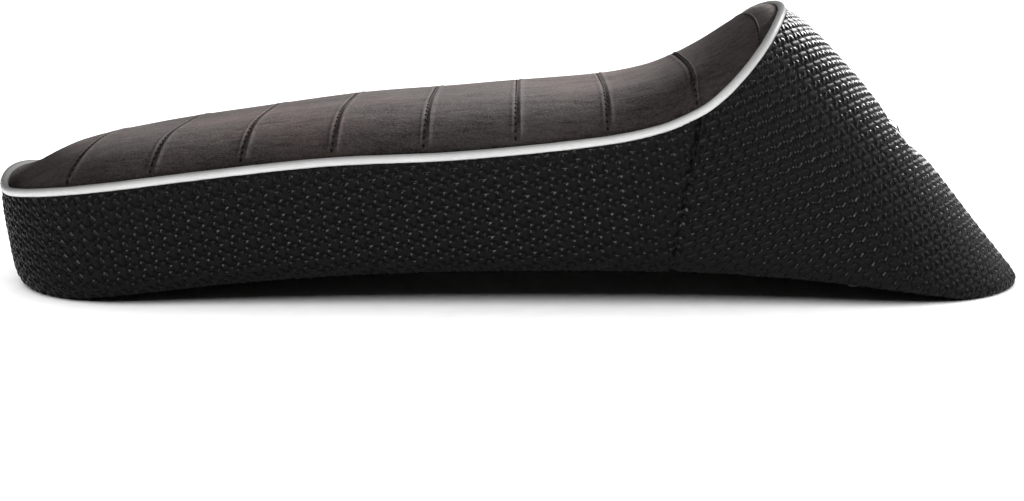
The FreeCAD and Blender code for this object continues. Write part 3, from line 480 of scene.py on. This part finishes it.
def rounded(offset, reach):
    """Height across a bump with rounded sides."""
    return np.clip(1 - (offset / reach) ** 4, 0, 1)


def weave_height(flat, angle):
    """Height of the embossed weave, 0 in the creases to 1 on the tallest bumps, and where it is a bump."""
    turn = math.radians(angle)
    p = flat[..., 0] * math.cos(turn) + flat[..., 1] * math.sin(turn)
    q = flat[..., 1] * math.cos(turn) - flat[..., 0] * math.sin(turn)
    cell = 2 * WEAVE_PITCH
    nearest = np.floor(q / WEAVE_ROW_GAP + 0.5)
    height, bump = np.zeros_like(p), np.zeros_like(p)
    lean = math.radians(LEAF_LEAN)
    for step in (-1, 0, 1):
        row = nearest + step
        y = q - row * WEAVE_ROW_GAP
        plain = np.mod(row, 2) == 0
        flip = np.where(np.mod(row, 4) == 1, 0.0, WEAVE_PITCH)
        strap = p - cell * np.floor(p / cell + 0.5)
        low = STRAP_RISE * bevelled(strap, STRAP_REACH) * np.clip(1 - (y / STRAP_HALF_WIDTH) ** 2, 0, 1)
        leaf = p - flip - cell * np.floor((p - flip) / cell + 0.5)
        across = y * math.cos(lean) - leaf * math.sin(lean)
        tall = bevelled(leaf, LEAF_REACH) * rounded(across, LEAF_HALF_WIDTH)
        oval = p - flip - WEAVE_PITCH - cell * np.floor((p - flip - WEAVE_PITCH) / cell + 0.5)
        mid = OVAL_RISE * bevelled(oval, OVAL_REACH) * rounded(y, OVAL_HALF_WIDTH)
        here = np.where(plain, low, np.maximum(tall, mid))
        bump = np.where(here > height, np.where(plain, 0.0, 1.0), bump)
        height = np.maximum(height, here)
    return height, bump


def grid_object(name, points, closed_rows=False, closed_columns=False, values=None, flat=None):
    """Smooth object over a grid of points in millimetres."""
    rows, columns = points.shape[:2]
    index = np.arange(rows * columns).reshape(rows, columns)
    if closed_rows:
        index = np.concatenate([index, index[:1]], 0)
    if closed_columns:
        index = np.concatenate([index, index[:, :1]], 1)
    quads = np.stack([index[:-1, :-1], index[1:, :-1], index[1:, 1:], index[:-1, 1:]], -1).reshape(-1, 4)
    return mesh_object(name, points.reshape(-1, 3), quads, values, flat)


def mesh_object(name, points, faces, values=None, flat=None):
    """Smooth object from points in millimetres and faces with a like number of corners."""
    corners = faces.shape[1]
    mesh = bpy.data.meshes.new(name)
    mesh.vertices.add(len(points))
    mesh.vertices.foreach_set("co", (points * MM).astype(np.float32).ravel())
    mesh.loops.add(faces.size)
    mesh.loops.foreach_set("vertex_index", faces.astype(np.int32).ravel())
    mesh.polygons.add(len(faces))
    mesh.polygons.foreach_set("loop_start", np.arange(0, faces.size, corners, dtype=np.int32))
    mesh.update(calc_edges=True)
    mesh.polygons.foreach_set("use_smooth", np.ones(len(faces), bool))
    for key, value in (values or {}).items():
        layer = mesh.attributes.new(key, "FLOAT", "POINT")
        layer.data.foreach_set("value", value.astype(np.float32).ravel())
    if flat is not None:
        layer = mesh.uv_layers.new(name="sheet")
        layer.data.foreach_set("uv", (flat.reshape(-1, 2)[faces.ravel()] * MM).astype(np.float32).ravel())
    if mesh.validate():
        raise RuntimeError(f"{name}: the mesh needed repair")
    made = bpy.data.objects.new(name, mesh)
    bpy.context.collection.objects.link(made)
    return made


class NodeSheet:
    """Short way to build the node tree of one material."""

    def __init__(self, name):
        self.material = bpy.data.materials.get(name) or bpy.data.materials.new(name)
        self.material.use_nodes = True
        self.tree = self.material.node_tree
        self.tree.nodes.clear()
        self.output = self.add("ShaderNodeOutputMaterial")

    def add(self, kind, inputs=None, **settings):
        node = self.tree.nodes.new(kind)
        for key, value in settings.items():
            setattr(node, key, value)
        for key, value in (inputs or {}).items():
            if isinstance(value, bpy.types.NodeSocket):
                self.tree.links.new(value, node.inputs[key])
            else:
                node.inputs[key].default_value = value
        return node

    def math(self, operation, a, b=0.0):
        return self.add("ShaderNodeMath", {0: a, 1: b}, operation=operation).outputs[0]

    def place(self, scale):
        """Object coordinates stretched by a scale on each axis."""
        coordinates = self.add("ShaderNodeTexCoord").outputs["Object"]
        return self.add("ShaderNodeMapping", {"Vector": coordinates, "Scale": scale}).outputs[0]

    def noise(self, scale, detail=3.0, roughness=0.5, stretch=(1, 1, 1)):
        inputs = {"Vector": self.place(stretch), "Scale": scale, "Detail": detail, "Roughness": roughness}
        return self.add("ShaderNodeTexNoise", inputs).outputs["Fac"]

    def ramp(self, value, low, high, start=0.0, end=1.0):
        """Value taken from between start and end to between low and high."""
        inputs = {0: value, 1: start, 2: end, 3: low, 4: high}
        return self.add("ShaderNodeMapRange", inputs).outputs[0]

    def blend(self, share, a, b):
        """Colour mixed from a to b by a share."""
        node = self.add("ShaderNodeMix", {0: share}, data_type="RGBA")
        for key, value in ((6, a), (7, b)):
            if isinstance(value, bpy.types.NodeSocket):
                self.tree.links.new(value, node.inputs[key])
            else:
                node.inputs[key].default_value = (*value, 1)
        return node.outputs[2]

    def bump(self, height, distance, strength=1.0, normal=None):
        inputs = {"Height": height, "Distance": distance, "Strength": strength}
        if normal is not None:
            inputs["Normal"] = normal
        return self.add("ShaderNodeBump", inputs).outputs[0]

    def finish(self, inputs):
        shader = self.add("ShaderNodeBsdfPrincipled", inputs)
        self.tree.links.new(shader.outputs[0], self.output.inputs[0])
        return self.material


def suede_material(colours):
    """Brushed suede with patches, lengthwise streaks and a fine nap."""
    sheet = NodeSheet("suede")
    brushed = sheet.noise(150, detail=5, roughness=0.7, stretch=(0.4, 1, 1))
    patches = sheet.noise(24, detail=3, roughness=0.55, stretch=(0.4, 1, 1))
    streaks = sheet.noise(170, detail=4, roughness=0.6, stretch=(0.18, 1, 1))
    nap = sheet.noise(620, detail=5, roughness=0.75)
    share = sheet.math("ADD", sheet.math("MULTIPLY", brushed, 0.55), sheet.math("MULTIPLY", patches, 0.45))
    warmth = sheet.noise(19, detail=3, roughness=0.5, stretch=(0.5, 1, 1))
    warm = sheet.ramp(warmth, 0, 1, start=0.42, end=0.58)
    light = sheet.blend(warm, colours.suede_light, colours.suede_warm)
    tone = sheet.blend(sheet.ramp(share, 0, 1, start=0.38, end=0.6), colours.suede_dark, light)
    tone = sheet.blend(sheet.ramp(streaks, 0.6, 0, start=0.34, end=0.43), tone, colours.suede_streak)
    tone = sheet.blend(sheet.ramp(nap, 0, 0.6, start=0.44, end=0.66), tone, colours.suede_nap)
    laid = sheet.bump(share, distance=0.002, strength=0.7)
    return sheet.finish({
        "Base Color": tone,
        "Roughness": 0.95,
        "Specular IOR Level": 0.1,
        "Sheen Weight": 0.1,
        "Sheen Roughness": 0.4,
        "Sheen Tint": (0.8, 0.72, 0.69, 1),
        "Normal": sheet.bump(nap, distance=0.0008, strength=0.6, normal=laid),
    })


def vinyl_material(colours):
    """Black vinyl, glossy on the weave's bumps and dull in its creases, with painted shade darkening the
    creases' colour.
    """
    sheet = NodeSheet("woven_vinyl")
    raised = sheet.add("ShaderNodeAttribute", attribute_name="weave").outputs["Fac"]
    grain = sheet.noise(1600, detail=3, roughness=0.6)
    wear = sheet.noise(40, detail=3, roughness=0.5)
    crease_shade_and_dullness = sheet.ramp(raised, 1, 0, start=0.0, end=0.3)
    # painted shade: the base colour darkens in the weave's creases, where the mask also raises the roughness
    tone = sheet.blend(crease_shade_and_dullness, colours.vinyl, colours.vinyl_crease_shade)
    polished = sheet.add("ShaderNodeAttribute", attribute_name="bump").outputs["Fac"]
    worn = sheet.ramp(wear, 0.25, 0.31, start=0.3, end=0.7)
    gloss = sheet.math("ADD", worn, sheet.ramp(polished, 0.22, 0))
    return sheet.finish({
        "Base Color": tone,
        "Roughness": sheet.math("ADD", gloss, sheet.math("MULTIPLY", crease_shade_and_dullness, 0.3)),
        "Specular IOR Level": 0.07,
        "Normal": sheet.bump(grain, distance=0.00015, strength=0.5),
    })


def welt_material(colours):
    """Smooth light grey vinyl, slightly soiled."""
    sheet = NodeSheet("welt_vinyl")
    grain = sheet.noise(1800, detail=3, roughness=0.6)
    soil = sheet.noise(18, detail=4, roughness=0.6)
    tone = sheet.blend(sheet.ramp(soil, 0, 1, start=0.35, end=0.65), colours.welt_soiled, colours.welt)
    return sheet.finish({
        "Base Color": tone,
        "Roughness": 0.38,
        "Specular IOR Level": 0.45,
        "Normal": sheet.bump(grain, distance=0.00012, strength=0.4),
    })


def thread_material(colours):
    """Dark twisted thread, with painted shade in the hollows of its twist."""
    sheet = NodeSheet("thread")
    twist = sheet.noise(2600, detail=2, roughness=0.5)
    # painted shade: the colour darkens where the twist's bump is low
    tone = sheet.blend(sheet.ramp(twist, 0, 1, start=0.3, end=0.7), colours.thread_hollow_shade, colours.thread)
    twisted = sheet.bump(twist, distance=0.0002, strength=0.6)
    return sheet.finish({"Base Color": tone, "Roughness": 0.7, "Normal": twisted})


def floor_material(colours):
    """Plain white paper."""
    sheet = NodeSheet("floor_paper")
    grain = sheet.noise(60, detail=2, roughness=0.5)
    tone = sheet.blend(sheet.ramp(grain, 0, 1, start=0.3, end=0.7), colours.floor_dark, colours.floor)
    return sheet.finish({"Base Color": tone, "Roughness": 0.9, "Specular IOR Level": 0.0})


def plain_material(name, dark, light, roughness, grain_scale, depth, metallic=0.0):
    """Finish with a fine grain, from a dark to a light tone."""
    sheet = NodeSheet(name)
    grain = sheet.noise(grain_scale, detail=3, roughness=0.6)
    cloud = sheet.noise(22, detail=3, roughness=0.5)
    tone = sheet.blend(sheet.ramp(cloud, 0, 1, start=0.35, end=0.65), dark, light)
    return sheet.finish({
        "Base Color": tone,
        "Roughness": sheet.ramp(grain, roughness - 0.05, roughness + 0.08, start=0.3, end=0.7),
        "Metallic": metallic,
        "Normal": sheet.bump(grain, distance=depth, strength=0.5),
    })


def length(name, description, default, low, high):
    """Length that a user can set, in metres."""
    return bpy.props.FloatProperty(
        name=name, description=description, default=default, min=low, max=high, precision=5, unit="LENGTH",
    )


def colour(name, description, default):
    """Colour that a user can set."""
    return bpy.props.FloatVectorProperty(
        name=name, description=description, default=default, size=3, min=0.0, max=1.0, precision=4,
        subtype="COLOR",
    )


class SeatCoverSettings(bpy.types.PropertyGroup):
    """Sizes of the covers' surface."""

    band_depth: length("Band weave depth", "Height of the tallest bumps on the band", 0.0014, 0.0, 0.003)
    tail_depth: length(
        "Tail weave depth", "Height of the tallest bumps on the stretched tail cover", 0.001, 0.0, 0.003,
    )
    spacing: length("Mesh spacing", "Distance between points of the woven covers", 0.00095, 0.0005, 0.01)
    seam_dip: length("Seam dip", "How far the covers dip into the side seams", 0.0016, 0.0, 0.005)


class SeatTopSettings(bpy.types.PropertyGroup):
    """Sizes of the suede top and its stitching."""

    seam_depth: length("Seam depth", "Depth of the sewn cross seams", 0.0004, 0.0, 0.004)
    ridge: length("Seam ridge", "Height of the ridges beside each cross seam", 0.0005, 0.0, 0.002)
    stitch_pitch: length("Stitch pitch", "Distance from one stitch to the next", 0.0072, 0.001, 0.01)


class SeatColourSettings(bpy.types.PropertyGroup):
    """Colours of the covers, the welt, the thread and the floor, with painted shade in the vinyl's creases
    and the thread's hollows.
    """

    suede_light: colour("Suede light", "Light tone of the suede", (0.166, 0.15, 0.145))
    suede_warm: colour("Suede warm", "Light tone of the suede's warmer patches", (0.194, 0.145, 0.136))
    suede_dark: colour("Suede dark", "Dark tone of the suede", (0.066, 0.0575, 0.056))
    suede_streak: colour("Suede streaks", "Fine dark streaks along the seat", (0.037, 0.0316, 0.03))
    suede_nap: colour("Suede nap", "Raised pale ends of the nap", (0.3, 0.27, 0.26))
    vinyl: colour("Vinyl", "Raised part of the woven vinyl", (0.0028, 0.0028, 0.0029))
    # painted shade: colour of the weave's creases, darker than the raised vinyl
    vinyl_crease_shade: colour("Vinyl creases", "Creases of the woven vinyl", (0.0006, 0.0006, 0.0006))
    welt_soiled: colour("Welt soiled", "Slightly soiled parts of the welt", (0.68, 0.68, 0.675))
    welt: colour("Welt", "Clean parts of the welt", (0.76, 0.76, 0.755))
    # painted shade in the hollows of the thread's twist
    thread_hollow_shade: colour("Thread dark", "Hollows of the thread's twist", (0.004, 0.0035, 0.0033))
    thread: colour("Thread", "Raised strands of the thread", (0.012, 0.0105, 0.01))
    floor_dark: colour("Floor dark", "Darker fibres of the floor paper", (0.78, 0.78, 0.78))
    floor: colour("Floor", "Lighter fibres of the floor paper", (0.82, 0.82, 0.82))


def finish_piece(made, material, slot, *nodes):
    """Give a piece its material and let it ride in place of CAD nodes; its slot is not used."""
    made.data.materials.append(material)
    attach(made, "root")
    if nodes:
        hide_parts(*nodes)


def cover_grid(start, end, spacing, near_first, angle):
    """Points, lengths from the seams and weave of one side cover."""
    ends = np.linspace(start, end, RAIL_SAMPLES)
    middle = straight_wall(ends, np.full(RAIL_SAMPLES, SPACED_SHARE))
    count = int(line_lengths(middle)[-1] / spacing) + 1
    loops = np.interp(np.linspace(0, 1, count), line_lengths(middle) / line_lengths(middle)[-1], ends)
    dense = wrap_sections(loops, SECTION_STEPS)
    lengths = line_lengths(dense)
    run = np.linalg.norm(base_point(loops) - edge_point(loops), axis=-1)
    wall_rows = int(np.percentile(run, ROW_PERCENTILE) / spacing)
    walled = (run + FOOT_OVERRUN)[:, None]
    fine = np.linspace(0, 1, wall_rows)[None] * walled
    hemmed = lengths[:, -1:] - walled
    coarse = walled + hemmed * np.linspace(0, 1, HEM_COLUMNS)[None, 1:]
    depths = np.concatenate([fine, coarse], 1)
    points = np.stack([along_line(*section) for section in zip(depths, lengths, dense)])
    tops, feet = dense[:, 0], base_point(loops)
    if near_first:
        flat_top, flat_foot = unrolled(tops, feet, -1)
    else:
        flat_top, flat_foot = (line[::-1] for line in unrolled(tops[::-1], feet[::-1], 1))
    downward = unit(flat_foot - flat_top)
    flat = flat_top[:, None] + downward[:, None] * depths[..., None]
    from_seam = np.minimum(np.arange(count), np.arange(count)[::-1])[:, None] * spacing
    return points, flat, np.broadcast_to(from_seam, depths.shape), depths, *weave_height(flat, angle)


def woven_cover(names, start, end, settings, depth, crispness, near_first, angle, nodes):
    """Two halves of one woven cover, split at its middle, with bumps shaded more crisply than the mesh."""
    spacing = settings.spacing / MM
    points, flat, from_seam, depths, weave, bump = cover_grid(start, end, spacing, near_first, angle)
    normals = grid_normals(points)
    dip = settings.seam_dip / MM * np.exp(-((from_seam / SEAM_DIP_WIDTH) ** 2))
    drift = PUCKER_DRIFT * np.sin(depths * PUCKER_DRIFT_WAVE)
    pucker = PUCKER_HEIGHT * np.exp(-from_seam / PUCKER_FADE) * np.sin(depths * PUCKER_WAVE + drift)
    lift = depth / MM * weave - dip + pucker
    crisp_normals = grid_normals(points + normals * (lift * crispness)[..., None])
    points = points + normals * lift[..., None]
    points[..., 2] = np.maximum(points[..., 2], GROUND_GAP)
    middle = len(points) // 2
    for name, part in zip(names, (slice(None, middle + 1), slice(middle, None))):
        values = {"weave": weave[part], "bump": bump[part]}
        made = grid_object(name, points[part], values=values, flat=flat[part])
        made.data.normals_split_custom_set_from_vertices(crisp_normals[part].reshape(-1, 3))
        finish_piece(made, vinyl_material(bpy.context.scene.seat_colours), "vinyl", *nodes)


class SEAT_OT_side_covers(bpy.types.Operator):
    """Build the woven vinyl band round the nose and flanks, and the tail cover"""

    bl_idname = "seat.side_covers"
    bl_label = "Build side covers"

    def execute(self, context):
        settings = context.scene.seat_covers
        woven_cover(
            ("band_left", "band_right"), -FLANK_END, FLANK_END, settings, settings.band_depth,
            BAND_CRISPNESS, True, BAND_ROW_ANGLE, ("side_band",),
        )
        woven_cover(
            ("tail_right", "tail_left"), FLANK_END, 2 - FLANK_END, settings, settings.tail_depth,
            TAIL_CRISPNESS, False, TAIL_ROW_ANGLE, ("tail_cover",),
        )
        return {"FINISHED"}


def top_rows(settings):
    """Loop places of the top's rows, closer together by the seams, with the seams' profile."""
    seams = channel_places()
    per_mm = 1 / HALF_LOOP
    near = np.array([-off for off in ROWS_OFF_SEAM[::-1]] + [0] + ROWS_OFF_SEAM)
    rows = [np.linspace(NOSE_CORNER, CREST_CORNER, TOP_ROWS)]
    rows += [seam + near * per_mm for seam in seams]
    loops = np.unique(np.clip(np.concatenate(rows), NOSE_CORNER, CREST_CORNER))
    offs = (loops[:, None] - seams[None]) / per_mm
    off = offs[np.arange(len(loops)), np.abs(offs).argmin(1)]
    groove = settings.seam_depth / MM * np.exp(-((off / GROOVE_WIDTH) ** 2))
    folded = sum(share * np.exp(-(((off - place) / width) ** 2)) for place, width, share in SEAM_RIDGES)
    return loops, settings.ridge / MM * folded - groove


class SEAT_OT_top_cover(bpy.types.Operator):
    """Build the suede top with its sewn cross seams"""

    bl_idname = "seat.top_cover"
    bl_label = "Build top cover"

    def execute(self, context):
        loops, profile = top_rows(context.scene.seat_top)
        acrosses = np.sin(np.linspace(-1, 1, TOP_COLUMNS) * TOP_COLUMN_ARC) / math.sin(TOP_COLUMN_ARC)
        points = top_points(loops, acrosses)
        edge = (1 - np.abs(acrosses))[None, :] * np.abs(points[:, -1:, 1])
        tuck = TUCK_DEPTH * np.exp(-edge / TUCK_WIDTH)
        lift = profile[:, None] * np.clip(edge / SEAM_FADE, 0, 1) - tuck
        points = points + grid_normals(points) * lift[..., None]
        made = grid_object("suede_top", points)
        finish_piece(made, suede_material(context.scene.seat_colours), "suede", "top_cover")
        return {"FINISHED"}


def ball_grid(rings, segments):
    """Points and faces of a unit ball, long axis along X."""
    polar = np.linspace(0, math.pi, rings + 1)[1:-1]
    turn = np.linspace(0, 2 * math.pi, segments, endpoint=False)
    body = np.stack([
        np.repeat(np.cos(polar), segments),
        np.outer(np.sin(polar), np.cos(turn)).ravel(),
        np.outer(np.sin(polar), np.sin(turn)).ravel(),
    ], -1)
    points = np.concatenate([body, [[1, 0, 0], [-1, 0, 0]]])
    faces = []
    for i in range(rings - 2):
        for k in range(segments):
            a, b = i * segments + k, i * segments + (k + 1) % segments
            faces += [(a, a + segments, b + segments), (a, b + segments, b)]
    first, last, base = len(body), len(body) + 1, (rings - 2) * segments
    for k in range(segments):
        faces.append((first, k, (k + 1) % segments))
        faces.append((last, base + (k + 1) % segments, base + k))
    return points, np.array(faces)


class SEAT_OT_stitches(bpy.types.Operator):
    """Build the stitches along the cross seams"""

    bl_idname = "seat.stitches"
    bl_label = "Build stitches"

    def execute(self, context):
        settings = context.scene.seat_top
        pitch, depth = settings.stitch_pitch / MM, settings.seam_depth / MM
        ball, faces = ball_grid(STITCH_RINGS, STITCH_SEGMENTS)
        reach = np.array([pitch * STITCH_LENGTH_SHARE, STITCH_HALF_WIDTH, STITCH_HALF_HEIGHT])
        points, corners, count = [], [], 0
        for seam in channel_places():
            rows = np.array([seam - LOOP_STEP, seam, seam + LOOP_STEP])
            grid = top_points(rows, np.linspace(-STITCHED_SHARE, STITCHED_SHARE, RAIL_SAMPLES))
            normals = grid_normals(grid)[1]
            line = grid[1] - normals * (depth - STITCH_PROUD)
            lengths = line_lengths(line)
            places = np.arange(pitch / 2, lengths[-1], pitch)
            centres = along_line(places, lengths, line)
            ups = unit(along_line(places, lengths, normals))
            ahead = unit(along_line(places + 1, lengths, line) - centres)
            side = unit(np.cross(ups, ahead))
            for centre, axes in zip(centres, np.stack([ahead, side, ups], 1)):
                points.append(centre + (ball * reach) @ axes)
                corners.append(faces + count)
                count += len(ball)
        made = mesh_object("seam_stitches", np.concatenate(points), np.concatenate(corners))
        finish_piece(made, thread_material(context.scene.seat_colours), "suede")
        return {"FINISHED"}


class SEAT_OT_welt(bpy.types.Operator):
    """Build the round welt between the top and the side covers"""

    bl_idname = "seat.welt"
    bl_label = "Build welt"

    def execute(self, context):
        ends = np.linspace(-1, 1, WELT_SAMPLES)
        lengths = line_lengths(edge_point(ends))
        loops = np.interp(np.linspace(0, lengths[-1], WELT_RINGS + 1)[:-1], lengths, ends)
        ahead = unit(edge_point(loops + LOOP_STEP) - edge_point(loops - LOOP_STEP))
        out = wall_normal(loops, np.zeros(len(loops)))
        up = unit(np.cross(out, ahead))
        turn = np.linspace(0, 2 * math.pi, WELT_SIDES, endpoint=False)
        quick, slow = (np.sin(np.arange(WELT_RINGS) * step) for step in WELT_WAVES)
        wave = 1 + WELT_WAVINESS * quick * slow
        ring = out[:, None] * np.cos(turn)[None, :, None] + up[:, None] * np.sin(turn)[None, :, None]
        points = edge_point(loops)[:, None] + ring * (PIPING_RADIUS * wave)[:, None, None]
        made = grid_object("welt", points, closed_rows=True, closed_columns=True)
        finish_piece(made, welt_material(context.scene.seat_colours), "piping", "piping")
        return {"FINISHED"}


class SEAT_OT_foam(bpy.types.Operator):
    """Build the foam inside the covers"""

    bl_idname = "seat.foam"
    bl_label = "Build foam"

    def execute(self, context):
        made = bpy.data.objects.new("foam_fill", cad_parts["foam_core"].data.copy())
        made.data.materials.clear()
        context.collection.objects.link(made)
        material = plain_material(
            "foam", (0.5, 0.44, 0.28), (0.62, 0.56, 0.4), roughness=0.9, grain_scale=700, depth=0.0006,
        )
        finish_piece(made, material, "foam", "foam_core")
        return {"FINISHED"}


class SEAT_OT_hardware(bpy.types.Operator):
    """Give the pan, brackets, fasteners, buffers and badge their finishes"""

    bl_idname = "seat.hardware"
    bl_label = "Finish hardware"

    def execute(self, context):
        pan = plain_material(
            "pan_plastic", (0.012, 0.012, 0.012), (0.022, 0.022, 0.022),
            roughness=0.6, grain_scale=900, depth=0.0004,
        )
        bracket = plain_material(
            "coated_steel", (0.012, 0.012, 0.013), (0.024, 0.024, 0.025),
            roughness=0.4, grain_scale=500, depth=0.0002,
        )
        zinc = plain_material(
            "zinc", (0.5, 0.5, 0.49), (0.62, 0.62, 0.6),
            roughness=0.32, grain_scale=400, depth=0.0001, metallic=1.0,
        )
        rubber = plain_material(
            "rubber", (0.01, 0.01, 0.01), (0.02, 0.02, 0.02),
            roughness=0.75, grain_scale=800, depth=0.0003,
        )
        bright = plain_material(
            "bright_metal", (0.72, 0.72, 0.72), (0.82, 0.82, 0.82),
            roughness=0.14, grain_scale=300, depth=0.00003, metallic=1.0,
        )
        finishes = {
            "base_pan": pan, "hem_rivets": pan, "hinge_bracket": bracket, "catch_striker": bracket,
            "hinge_bolts": zinc, "hinge_nuts": zinc, "catch_bolts": zinc, "catch_nuts": zinc,
            "buffer_screws": zinc, "badge_washer": zinc, "badge_nut": zinc, "rear_badge": bright,
            "buffer_front_left": rubber, "buffer_front_right": rubber,
            "buffer_rear_left": rubber, "buffer_rear_right": rubber,
        }
        for name, material in finishes.items():
            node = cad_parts[name]
            node.data.materials.clear()
            node.data.materials.append(material)
        return {"FINISHED"}


def lay_floor(scene):
    """White floor that is part of the stage and not of the seat."""
    mesh = bpy.data.meshes.new("floor")
    far = FLOOR_REACH
    mesh.from_pydata([(-far, -far, 0), (far, -far, 0), (far, far, 0), (-far, far, 0)], [], [(0, 1, 2, 3)])
    mesh.materials.append(floor_material(scene.seat_colours))
    floor = bpy.data.objects.new("floor", mesh)
    scene.collection.objects.link(floor)
    return floor


def light_group(name, members, left_out=False):
    """Collection that limits a lamp to its members, or to everything but its members."""
    group = bpy.data.collections.new(name)
    for member in members:
        group.objects.link(member)
    if left_out:
        for entry in group.collection_objects:
            entry.light_linking.link_state = "EXCLUDE"
    return group


def hang_lamp(scene, name, place, target, width, height, power, group):
    """Area lamp that faces its target and lights one group, or everything without one."""
    data = bpy.data.lights.new(name, "AREA")
    data.shape = "RECTANGLE"
    data.size, data.size_y, data.energy = width, height, power
    lamp = bpy.data.objects.new(name, data)
    lamp.location = place
    lamp.rotation_euler = (Vector(target) - Vector(place)).to_track_quat("-Z", "Y").to_euler()
    scene.collection.objects.link(lamp)
    if group is not None:
        lamp.light_linking.receiver_collection = group


def hang_lamps(scene, floor):
    """Lamps for all, for the woven sides, for the suede, for the pale pieces and for the floor."""
    sides = [bpy.data.objects[name] for name in ("band_left", "band_right", "tail_left", "tail_right")]
    pale = [bpy.data.objects["welt"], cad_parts["rear_badge"]]
    floor_only = light_group("floor_only", [floor])
    dark_only = light_group("dark_only", [floor, *pale, *sides], left_out=True)
    pale_only = light_group("pale_only", pale)
    sides_only = light_group("sides_only", sides)
    for lamp in (
        ("front_softbox", (0.4, -1.4, 1.2), (0.0, 0.0, 0.1), 0.5, 0.4, 1.0, None),
        ("glint_strip", (-0.2, -1.25, 1.2), (0.0, 0.0, 0.1), 0.6, 0.4, 40.0, sides_only),
        ("right_softbox", (1.35, -0.2, 0.9), (0.2, 0.0, 0.1), 0.9, 0.8, 17.0, sides_only),
        ("sides_back", (1.15, 1.45, 1.2), (0.0, 0.0, 0.12), 0.8, 0.6, 100.0, sides_only),
        ("back_softbox", (1.75, 1.2, 1.15), (0.0, 0.0, 0.12), 0.8, 0.6, 155.0, dark_only),
        ("pale_back", (1.75, 1.2, 1.15), (0.0, 0.0, 0.12), 0.8, 0.6, 28.0, pale_only),
        ("pale_front", (0.2, -1.4, 1.1), (0.0, 0.0, 0.12), 0.8, 0.6, 7.5, pale_only),
        ("floor_wash", (0.0, 1.5, 4.0), (0.0, 1.5, 0.0), 14.0, 14.0, 1610.0, floor_only),
    ):
        hang_lamp(scene, *lamp)


def light_world(scene):
    """Dim white surroundings."""
    scene.world = scene.world or bpy.data.worlds.new("studio")
    scene.world.use_nodes = True
    backdrop = scene.world.node_tree.nodes["Background"]
    backdrop.inputs["Color"].default_value = (1, 1, 1, 1)
    backdrop.inputs["Strength"].default_value = WORLD_STRENGTH


def set_camera(scene):
    """Camera at the left side of the seat and a little above it."""
    camera = bpy.data.cameras.new("camera")
    camera.sensor_width = CAMERA_SENSOR
    camera.lens = CAMERA_LENS
    camera.clip_start = 0.01
    eye = bpy.data.objects.new("camera", camera)
    eye.location = CAMERA_PLACE
    eye.rotation_euler = (RIGHT_ANGLE - CAMERA_TILT, 0, CAMERA_TURN)
    scene.collection.objects.link(eye)
    scene.camera = eye


class SEAT_OT_stage(bpy.types.Operator):
    """Set the floor, lights and camera"""

    bl_idname = "seat.stage"
    bl_label = "Set stage"

    def execute(self, context):
        scene = context.scene
        floor = lay_floor(scene)
        light_world(scene)
        hang_lamps(scene, floor)
        set_camera(scene)
        scene.view_settings.view_transform = "Standard"
        return {"FINISHED"}


class SEAT_PT_panel(bpy.types.Panel):
    """Sizes and steps of the seat's looks"""

    bl_label = "Scooter seat"
    bl_idname = "SEAT_PT_panel"
    bl_space_type = "VIEW_3D"
    bl_region_type = "UI"
    bl_category = "Seat"

    def draw(self, context):
        for settings in (context.scene.seat_covers, context.scene.seat_top, context.scene.seat_colours):
            for key in settings.__annotations__:
                self.layout.prop(settings, key)
        for operator in OPERATORS:
            self.layout.operator(operator.bl_idname)


OPERATORS = (
    SEAT_OT_side_covers, SEAT_OT_top_cover, SEAT_OT_stitches, SEAT_OT_welt, SEAT_OT_foam, SEAT_OT_hardware,
    SEAT_OT_stage,
)
CLASSES = (SeatCoverSettings, SeatTopSettings, SeatColourSettings) + OPERATORS + (SEAT_PT_panel,)


def register():
    for cls in CLASSES:
        bpy.utils.register_class(cls)
    bpy.types.Scene.seat_covers = bpy.props.PointerProperty(type=SeatCoverSettings)
    bpy.types.Scene.seat_top = bpy.props.PointerProperty(type=SeatTopSettings)
    bpy.types.Scene.seat_colours = bpy.props.PointerProperty(type=SeatColourSettings)


def unregister():
    del bpy.types.Scene.seat_colours
    del bpy.types.Scene.seat_top
    del bpy.types.Scene.seat_covers
    for cls in reversed(CLASSES):
        bpy.utils.unregister_class(cls)


def main():
    register()
    for step in (
        bpy.ops.seat.side_covers, bpy.ops.seat.top_cover, bpy.ops.seat.stitches, bpy.ops.seat.welt,
        bpy.ops.seat.foam, bpy.ops.seat.hardware, bpy.ops.seat.stage,
    ):
        if step() != {"FINISHED"}:
            raise RuntimeError(f"{step.idname()} did not finish")


if __name__ == "__main__":
    main()
